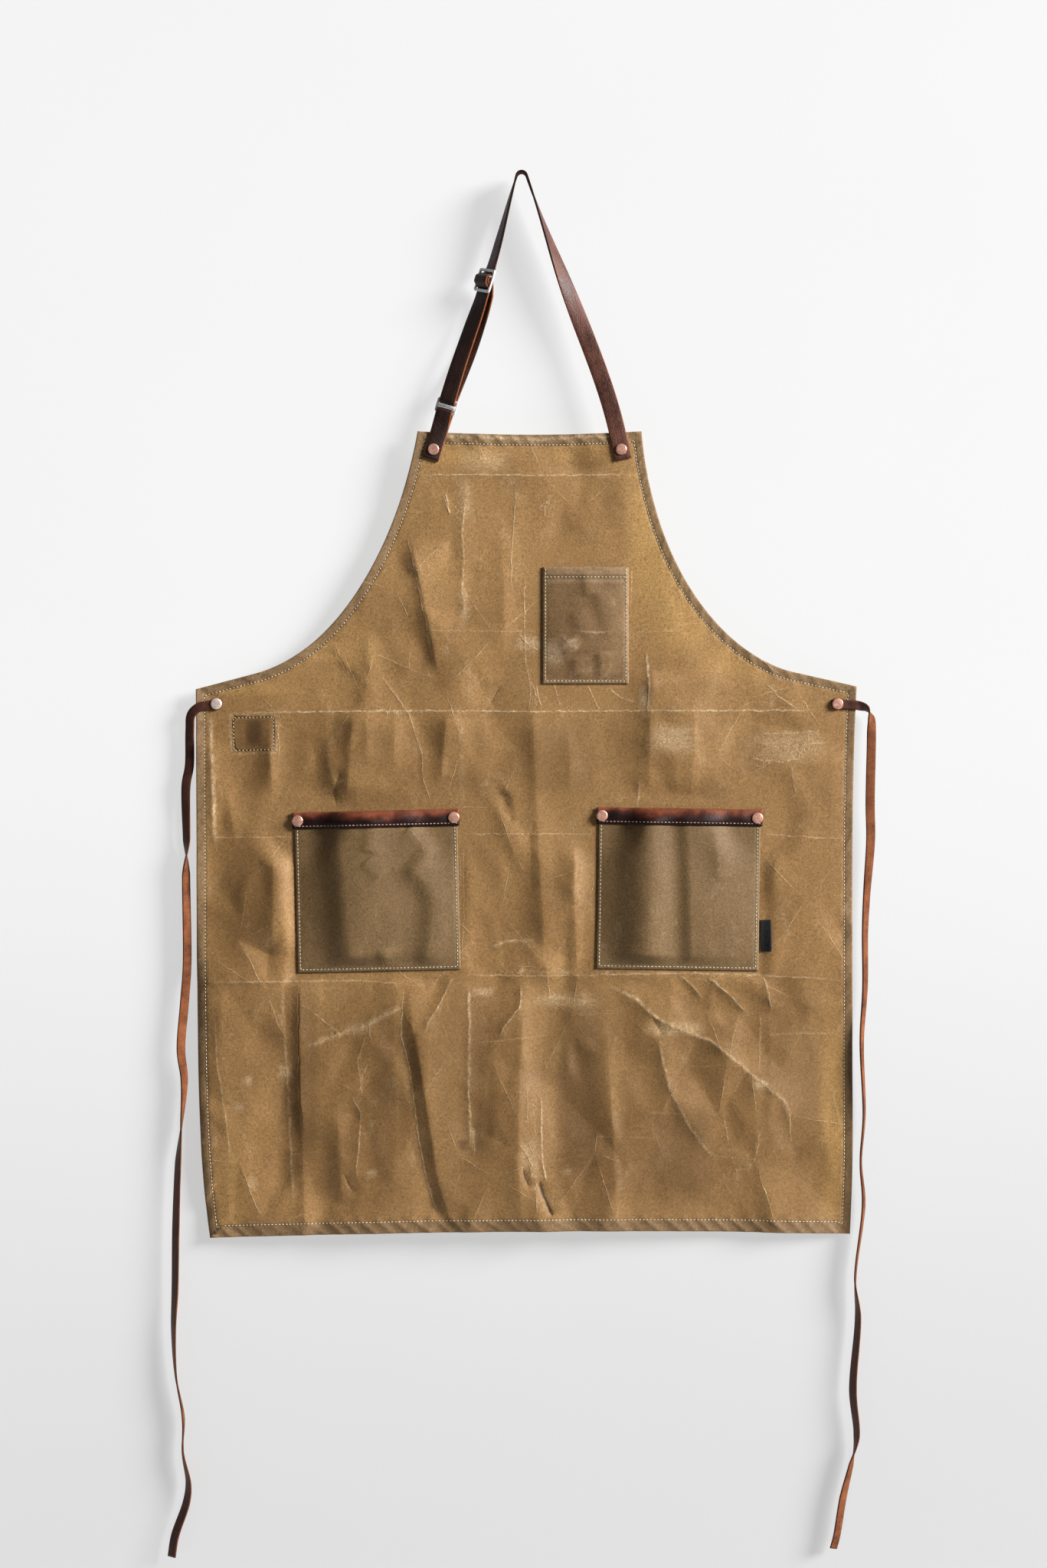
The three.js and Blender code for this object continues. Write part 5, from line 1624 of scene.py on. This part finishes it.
def make_trim(side):
    trim = trim_of(POCKETS[side])
    name = side + "_trim_leather"
    bm, x, z, across, up = sheet_grid(trim, TRIM_PITCH, lambda x, z: trim_surface(side, x, z))
    mesh = mesh_from(bm, name)
    store(mesh, "up", up / (trim.height / 2))
    piece = finish_piece(name, mesh, [TRIM_LEATHER], "strap_leather", [side + "_pocket_trim"])
    thicken(piece, TRIM_THICKNESS)


def make_patch():
    bm, x, z, across, up = sheet_grid(PATCH, PATCH_PITCH, lambda x, z: cloth_depth(x, z) - CANVAS - GAP)
    mesh = mesh_from(bm, "corner_patch_cloth")
    store(mesh, "edge", np.minimum(PATCH.width / 2 - abs(across), PATCH.height / 2 - abs(up)))
    store_wear_and_painted_light(mesh, x, z)
    piece = finish_piece("corner_patch_cloth", mesh, [CHEST_CANVAS], "canvas", ["corner_patch"])
    sew_on(piece, PATCH, CANVAS)


def label_surface(x, z):
    across, up = place_in(LABEL, x, z)
    return cloth_depth(x, z) + GAP + LABEL_STAND + LABEL_LIFT * smoothstep(across, *LABEL_LIFT_ENDS)


def make_label():
    mesh = mesh_from(sheet_grid(LABEL, LABEL_PITCH, label_surface)[0], "label_tab")
    piece = finish_piece("label_tab", mesh, [TAPE], "label", ["pocket_label"])
    sew_on(piece, LABEL, LABEL_THICKNESS)


make_body()
for side in POCKETS:
    make_pocket(side)
for side in ("left", "right"):
    make_trim(side)
make_patch()
make_label()


# Neck strap, tab and slides
def left_turn(at):
    return float(np.interp(at, *zip(*LEFT_TURNS)))


def right_turn(at):
    return 90 * (1 - float(smoothstep(at, 0, RIGHT_UNTWIST_LENGTH)))


class StrapLeg:
    """A straight run of strap from its bend at the top to a bib rivet"""

    def __init__(self, side, spot, turn_at, bow=0):
        across = abs(spot[0])
        down = -INNER_BEND - spot[1]
        self.lean = math.atan2(across, down) - math.asin(BEND_RADIUS / math.hypot(across, down))
        self.length = math.sqrt(across * across + down * down - BEND_RADIUS * BEND_RADIUS)
        self.down = Vector((side * math.sin(self.lean), 0, -math.cos(self.lean)))
        self.inward = Vector((-side * math.cos(self.lean), 0, -math.sin(self.lean)))
        self.start = Vector((0, 0, -INNER_BEND)) - self.inward * BEND_RADIUS
        self.bib_y = HEM_THICKNESS / 2 - float(panel_depth(*spot))
        self.turn_at = turn_at
        self.bow = bow

    def frame(self, at):
        """Place, width direction and outward direction at a distance down the leg"""
        turn = math.radians(self.turn_at(at))
        share = max(0, at / self.length)
        bowed = math.pi * share**RIGHT_BOW_POWER
        place = self.start + self.down * at - self.inward * self.bow * math.sin(bowed)
        place.y = self.bib_y * float(smoothstep(at, 0, RING.at))
        slope = self.bow * math.cos(bowed) * math.pi * RIGHT_BOW_POWER
        slope = slope * share ** (RIGHT_BOW_POWER - 1) / self.length
        inward = (self.inward + self.down * slope).normalized()
        width = inward * math.cos(turn) + FRONT * math.sin(turn)
        out = FRONT * math.cos(turn) - inward * math.sin(turn)
        return place, width, out


LEFT_LEG = StrapLeg(-1, BIB_RIVETS["left"], left_turn)
RIGHT_LEG = StrapLeg(1, BIB_RIVETS["right"], right_turn, RIGHT_BOW)
ON_BIB = HEM_THICKNESS / 2 + GAP + LEATHER / 2
BEHIND_BAR = -(BAR_DEPTH / 2 + SLIDE_GAP + LEATHER / 2)


def leg_sections(leg, path, side=1):
    """Cross-sections of a strip that follows (at, off) points beside a leg, off being outwards from it"""
    sections = []
    for i, (at, off) in enumerate(path):
        before = path[max(0, i - 1)]
        after = path[min(len(path) - 1, i + 1)]
        place, width, out = leg.frame(at)
        thickness = leg.down * (before[1] - after[1]) + out * (after[0] - before[0])
        thickness = thickness.normalized() * side
        sections.append(Section(place + out * off, width, thickness, STRAP_WIDTH / 2, LEATHER / 2))
    return sections


def round_bar(at, radius, start_angle, end_angle):
    """Points round a bar, the angle counted from the front, downwards when positive"""
    angles = [math.radians(angle) for angle in evenly(start_angle, end_angle, 180 / BEND_STEPS)]
    return [(at + radius * math.sin(angle), radius * math.cos(angle)) for angle in angles]


def front_layer(at):
    """Offset of the strap's front layer between its bend and the ring"""
    arch = 1 - float(smoothstep(abs(at - SLIDER.at), ARCH_TOP, ARCH_FOOT))
    before = BEHIND_BAR * float(smoothstep(at, 0, SLIDER.at - SLIDER.bar_spacing - BAR_HEIGHT))
    leaves = SLIDER.at + 2 * SLIDER.bar_spacing
    arrives = RING.at - 2 * RING.bar_spacing
    to_ring = float(smoothstep(at, leaves, arrives))
    return before + arch * (ARCH_HEIGHT - BEHIND_BAR) + to_ring * (FOLD_RADIUS - BEHIND_BAR)


def neck_strap_sections():
    """From the right bib rivet, over the bend, through the slider, round the ring and back up"""
    lift_end = RIGHT_LEG.length - STRAP_LIFT_END
    right_path = [
        (at, ON_BIB * float(smoothstep(at, RIGHT_LEG.length / 2, lift_end)))
        for at in evenly(RIGHT_LEG.length + STRAP_END, 0, STRAP_STEP)
    ]
    sections = leg_sections(RIGHT_LEG, right_path, side=-1)
    for angle in evenly(RIGHT_LEG.lean, math.pi - LEFT_LEG.lean, math.pi / BEND_STEPS)[1:-1]:
        out = Vector((math.cos(angle), 0, math.sin(angle)))
        place = out * BEND_RADIUS + Vector((0, 0, -INNER_BEND))
        sections.append(Section(place, FRONT, out, STRAP_WIDTH / 2, LEATHER / 2))
    slide_top = SLIDER.at - SLIDER.bar_spacing - BAR_HEIGHT
    slide_end = SLIDER.at + SLIDER.bar_spacing + BAR_HEIGHT
    ring_bar = RING.at - RING.bar_spacing
    front = evenly(0, slide_top, STRAP_STEP)
    front += evenly(slide_top, slide_end, SLIDER_STEP)[1:]
    front += evenly(slide_end, ring_bar, STRAP_STEP)[1:-1]
    left_path = [(at, front_layer(at)) for at in front]
    left_path += round_bar(ring_bar, FOLD_RADIUS, 0, 180)
    for at in evenly(ring_bar, slide_end, STRAP_STEP)[1:]:
        share = (ring_bar - at) / (ring_bar - slide_end)
        slack = REAR_LAYER_SLACK * math.sin(math.pi * share)
        left_path.append((at, -FOLD_RADIUS + (REAR_LAYER_AT_SLIDER + FOLD_RADIUS) * share - slack))
    left_path.append((SLIDER.at + SLIDER.bar_spacing / 2, (REAR_LAYER_AT_SLIDER - FOLD_RADIUS) / 2))
    left_path += round_bar(SLIDER.at, FOLD_RADIUS, 180, 180 + LOOP_END_ANGLE)
    return sections + leg_sections(LEFT_LEG, left_path)


def tab_sections():
    """Folded round the ring's lower bar, one end before the bib and one behind"""
    bar = RING.at + RING.bar_spacing
    down = evenly(bar, LEFT_LEG.length + STRAP_END, STRAP_STEP)[1:]
    shares = [float(share) for share in smoothstep(down, bar, bar + TAB_SETTLE)]
    settled = [FOLD_RADIUS + (ON_BIB - FOLD_RADIUS) * share for share in shares]
    path = list(zip(down, settled))[::-1]
    path += round_bar(bar, FOLD_RADIUS, 0, -180)
    path += [(at, -off) for at, off in zip(down, settled)]
    return leg_sections(LEFT_LEG, path[::-1])


def make_strap(name, sections, replaced):
    mesh = mesh_from(loft(sections, STRAP_CORNER), name)
    finish_piece(name, mesh, (STRAP_GRAIN, STRAP_FLESH, RAW_EDGE), "strap_leather", [replaced])


def draw_out(bm, faces, distance, **settings):
    """Faces extruded along Z"""
    drawn = bmesh.ops.extrude_face_region(bm, geom=faces, **settings)["geom"]
    verts = [part for part in drawn if isinstance(part, bmesh.types.BMVert)]
    bmesh.ops.translate(bm, vec=(0, 0, distance), verts=verts)


def bevel(bm, edges, offset, segments):
    bmesh.ops.bevel(
        bm, geom=edges, offset=offset, segments=segments, profile=0.5, affect="EDGES", material=-1
    )


def make_slide(name, slide, replaced):
    """A flat frame: a grid with its windows taken out, drawn to its depth and rounded"""
    window = SLIDE_WINDOW / 2
    bar = BAR_HEIGHT / 2
    outer = slide.bar_spacing + bar
    columns = [-window - SLIDE_SIDE, -window, window, window + SLIDE_SIDE]
    rows = [-outer, -slide.bar_spacing + bar, -bar, bar, slide.bar_spacing - bar, outer]
    bm = bmesh.new()
    bmesh.ops.create_grid(bm, x_segments=3, y_segments=5, size=0.5)
    for vert in bm.verts:
        column = round((vert.co.x + 0.5) * 3)
        row = round((vert.co.y + 0.5) * 5)
        vert.co = (columns[column], rows[row], -BAR_DEPTH / 2)

    def in_window(face):
        middle = face.calc_center_median()
        return abs(middle.x) < 1 and bar < abs(middle.y) < slide.bar_spacing - bar

    def at_corner(vert):
        return abs(abs(vert.co.x) - columns[3]) < 0.01 and abs(abs(vert.co.y) - outer) < 0.01

    def on_centre_bar(face):
        return face.normal.z > 0.9 and face.calc_center_median().length < BAR_DEPTH

    bmesh.ops.delete(bm, geom=[face for face in bm.faces if in_window(face)], context="FACES")
    draw_out(bm, bm.faces[:], BAR_DEPTH, use_keep_orig=True)
    bmesh.ops.recalc_face_normals(bm, faces=bm.faces)
    corners = [edge for edge in bm.edges if all(at_corner(vert) for vert in edge.verts)]
    bevel(bm, corners, SLIDE_CORNER, 5)
    if slide.centre_proud:
        draw_out(bm, [face for face in bm.faces if on_centre_bar(face)], slide.centre_proud)
    sharp = [edge for edge in bm.edges if edge.is_manifold and edge.calc_face_angle() > math.radians(40)]
    bevel(bm, sharp, SLIDE_ROUND, 3)
    place, width, out = LEFT_LEG.frame(slide.at)
    stand = Matrix((width, -LEFT_LEG.down, out)).transposed().to_4x4()
    stand.translation = place
    bmesh.ops.transform(bm, matrix=stand, verts=bm.verts)
    bmesh.ops.recalc_face_normals(bm, faces=bm.faces)
    finish_piece(name, mesh_from(bm, name), [STEEL], "steel", [replaced])


make_strap("neck_strap_leather", neck_strap_sections(), "neck_strap")
make_strap("strap_tab_leather", tab_sections(), "strap_tab")
make_slide("slider_frame", SLIDER, "strap_slider")
make_slide("ring_frame", RING, "strap_ring")


# Copper rivets
def rivet_seat(x, z, probe=5):
    """The panel's front at a rivet and the way it faces"""
    slope_x = float(panel_depth(x + probe, z) - panel_depth(x - probe, z)) / (2 * probe)
    slope_z = float(panel_depth(x, z + probe) - panel_depth(x, z - probe)) / (2 * probe)
    return Vector((x, -float(panel_depth(x, z)), z)), Vector((-slope_x, -1, -slope_z)).normalized()


def make_rivet(node, spot, head_at, washer_at, material=COPPER):
    """A turned head, its shank and the washer behind, spun from a profile"""
    washer_back = washer_at - WASHER_HEIGHT
    profile = [
        (0, washer_back - PEEN),
        (RIVET_SHANK_RADIUS * 0.7, washer_back - PEEN * 0.9),
        (RIVET_SHANK_RADIUS, washer_back - PEEN * 0.4),
        (RIVET_SHANK_RADIUS, washer_back),
        (WASHER_RADIUS - WASHER_BEVEL, washer_back),
        (WASHER_RADIUS, washer_back + WASHER_BEVEL),
        (WASHER_RADIUS, washer_at),
        (RIVET_SHANK_RADIUS, washer_at),
        (RIVET_SHANK_RADIUS, head_at),
    ]
    profile += [(RIVET_HEAD_RADIUS - inset, head_at + up) for inset, up in RIVET_HEAD_PROFILE]
    profile += [(RIVET_HEAD_RADIUS * 0.4, head_at + 1.46), (0, head_at + RIVET_HEAD_HEIGHT)]
    bm = bmesh.new()
    verts = [bm.verts.new((radius, 0, height)) for radius, height in profile]
    edges = [bm.edges.new(pair) for pair in zip(verts, verts[1:])]
    bmesh.ops.spin(
        bm,
        geom=verts + edges,
        cent=(0, 0, 0),
        axis=(0, 0, 1),
        angle=math.tau,
        steps=RIVET_STEPS,
        use_merge=True,
    )
    bmesh.ops.remove_doubles(bm, verts=bm.verts, dist=0.01)
    bmesh.ops.recalc_face_normals(bm, faces=bm.faces)
    radii = [math.hypot(vert.co.x, vert.co.y) for vert in bm.verts]
    place, facing = rivet_seat(*spot)
    stand = Vector((0, 0, 1)).rotation_difference(facing).to_matrix().to_4x4()
    stand.translation = place
    bmesh.ops.transform(bm, matrix=stand, verts=bm.verts)
    mesh = mesh_from(bm, node + "_copper")
    store(mesh, "radius", radii)
    finish_piece(node + "_copper", mesh, [material], "copper", [node])


BEHIND_CANVAS = -CANVAS - GAP
OVER_TRIM = POCKET_STAND + TRIM_GAP + TRIM_THICKNESS + GAP
OVER_TIE = GAP + TIE_THICKNESS + 2 * GAP
OVER_STRAP = ON_BIB + LEATHER / 2 - HEM_THICKNESS / 2 + GAP
BEHIND_TAB = -ON_BIB - LEATHER / 2 - HEM_THICKNESS / 2 - GAP
make_rivet("bib_rivet_left", BIB_RIVETS["left"], OVER_STRAP, BEHIND_TAB)
make_rivet("bib_rivet_right", BIB_RIVETS["right"], OVER_STRAP, BEHIND_CANVAS)
for side in ("left", "right"):
    # The left waist rivet gets the paler copper with its painted glint
    painted_glint = PAINTED_GLINT_COPPER if side == "left" else COPPER
    make_rivet("waist_rivet_" + side, WAIST_RIVETS[side], OVER_TIE, BEHIND_CANVAS, painted_glint)
    for i, spot in enumerate(trim_rivets(POCKETS[side])):
        make_rivet(f"{side}_pocket_rivet_{i + 1}", spot, OVER_TRIM, BEHIND_CANVAS)


# Stitches: one small bead of thread, repeated along each seam
def make_stitches(name, seams, material, slot, length=STITCH_LENGTH):
    """Seams are rows of (x, z) points with the depth that they are sewn on"""
    bead_bm = bmesh.new()
    bmesh.ops.create_uvsphere(bead_bm, u_segments=6, v_segments=4, radius=1)
    bead_bm.verts.ensure_lookup_table()
    bead = np.array([vert.co for vert in bead_bm.verts])
    bead_faces = [[vert.index for vert in face.verts] for face in bead_bm.faces]
    bead_bm.free()
    places, faces = [], []
    for points, depth_at in seams:
        row = evenly_along(np.array(points, float), STITCH_PITCH)
        depth = depth_at(row[:, 0], row[:, 1])
        path = np.column_stack([row[:, 0], -depth - STITCH_STAND, row[:, 1]])
        middles = (path[1:] + path[:-1]) / 2
        forward = unit(path[1:] - path[:-1])
        side = unit(np.cross(forward, np.array(FRONT)))
        up = np.cross(side, forward)
        for middle, along, across, out in zip(middles, forward, side, up):
            start = len(places) * len(bead)
            body = bead[:, 2:3] * along * length / 2
            body = body + bead[:, 0:1] * across * STITCH_WIDTH / 2 + bead[:, 1:2] * out * STITCH_HEIGHT / 2
            places.append(middle + body)
            faces += [[start + corner for corner in face] for face in bead_faces]
    mesh = bpy.data.meshes.new(name)
    mesh.from_pydata(np.concatenate(places) * MM, [], faces)
    mesh.shade_smooth()
    bm = bmesh.new()
    bm.from_mesh(mesh)
    bmesh.ops.recalc_face_normals(bm, faces=bm.faces)
    bm.to_mesh(mesh)
    bm.free()
    finish_piece(name, mesh, [material], slot)


def hem_seam():
    row = OUTLINE.inset(OUTLINE.stitch)
    return [(np.concatenate([row, row[:1]]), body_depth)]


def pocket_seams(side):
    """Round the sewn edges up to the trim, or up to the mouth with one more row along its hem"""
    box = POCKETS[side]
    across = box.width / 2 - POCKET_STITCH_INSET
    low = -box.height / 2 + POCKET_STITCH_INSET
    top = box.height / 2 - (CHEST_SEAM_END if side == "chest" else TRIM_HEIGHT)
    rows = [[(-across, top), (-across, low), (across, low), (across, top)]]
    if side == "chest":
        hem = box.height / 2 - CHEST_HEM
        rows.append([(-across, hem), (across, hem)])
    return [([tilted(box, *point) for point in row], lambda x, z: pocket_surface(side, x, z)) for row in rows]


def patch_seam():
    return [(outline_of(PATCH, PATCH_STITCH_INSET), body_depth)]


def trim_seam(side):
    trim = trim_of(POCKETS[side])
    across = trim.width / 2 - TRIM_SEAM_END
    low = -trim.height / 2 + TRIM_STITCH_INSET
    ends = [tilted(trim, -across, low), tilted(trim, across, low)]
    return [(ends, lambda x, z: trim_surface(side, x, z))]


make_stitches("hem_stitches", hem_seam(), THREAD, "canvas")
make_stitches("patch_stitches", patch_seam(), THREAD, "canvas", PATCH_STITCH_LENGTH)
for side in POCKETS:
    make_stitches(side + "_pocket_stitches", pocket_seams(side), THREAD, "canvas")
for side in ("left", "right"):
    make_stitches(side + "_trim_stitches", trim_seam(side), DARK_THREAD, "strap_leather")


# Backdrop, floor and light
def stage_plane(name, first, second, material):
    """A rectangle between two rows across the stage, each given as y and z"""
    ends = [(-STAGE_REACH, first), (STAGE_REACH, first), (STAGE_REACH, second), (-STAGE_REACH, second)]
    bm = bmesh.new()
    bm.faces.new([bm.verts.new((x, y, z)) for x, (y, z) in ends])
    mesh = bpy.data.meshes.new(name)
    bm.to_mesh(mesh)
    bm.free()
    mesh.materials.append(material)
    plane = bpy.data.objects.new(name, mesh)
    bpy.context.scene.collection.objects.link(plane)
    plane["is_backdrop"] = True


def backdrop_material(name, grey, glow_low=None, glow_high=None):
    """Matt backdrop that may glow a little, less towards the floor, and is clear from behind"""
    material, shader, place = new_material(name)
    tree = place.tree
    mottle = place.noise(400, 2).remap(0.3, 0.7)
    shade = tuple(0.97 * part for part in grey[:3]) + (1.0,)
    colour = mix_colour(mottle, shade, grey)
    feed(shader, {"Base Color": colour, "Roughness": 1.0, "Specular IOR Level": 0.0})
    if glow_low:
        height = place.split()[2]
        glow = mix_colour(height.remap(-1.6, -0.5, smooth=True), glow_low, glow_high)
        feed(shader, {"Emission Color": glow, "Emission Strength": 1.0})
    behind = output_of(tree, "ShaderNodeNewGeometry", output="Backfacing")
    clear = output_of(tree, "ShaderNodeBsdfTransparent")
    sides = {0: behind, 1: Output(tree, shader.outputs[0]), 2: clear}
    feed(tree.nodes["Material Output"], {"Surface": output_of(tree, "ShaderNodeMixShader", sides)})
    return material


def make_stage():
    wall_y = WALL_Y * MM
    floor_z = FLOOR_Z * MM
    foot = (wall_y, floor_z)
    wall = backdrop_material("white wall", WALL_GREY, GLOW_LOW, GLOW_HIGH)
    stage_plane("wall", foot, (wall_y, floor_z + STAGE_REACH), wall)
    floor = backdrop_material("pale floor", FLOOR_GREY)
    stage_plane("floor", (wall_y - FLOOR_DEPTH, floor_z), foot, floor)


def make_light(name, direction, distance, size, power):
    light_data = bpy.data.lights.new(name, "AREA")
    light_data.shape = "DISK"
    light_data.size = size
    light_data.energy = power
    light = bpy.data.objects.new(name, light_data)
    light.location = Vector(LIT_MIDDLE) + Vector(direction).normalized() * distance
    light.rotation_euler = Vector(direction).to_track_quat("Z", "Y").to_euler()
    bpy.context.scene.collection.objects.link(light)


def make_world():
    world = bpy.data.worlds.new("studio")
    world.use_nodes = True
    background = world.node_tree.nodes["Background"]
    background.inputs["Color"].default_value = (1.0, 1.0, 1.0, 1.0)
    background.inputs["Strength"].default_value = WORLD_STRENGTH
    bpy.context.scene.world = world


make_stage()
make_light("key", KEY_DIRECTION, KEY_DISTANCE, KEY_SIZE, KEY_POWER)
make_world()
bpy.context.scene.view_settings.view_transform = "Standard"

bpy.context.view_layer.update()
boxes = {"cad": cad_box, "visual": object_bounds()}
{name: [list(map(float, corner)) for corner in box] for name, box in boxes.items()}
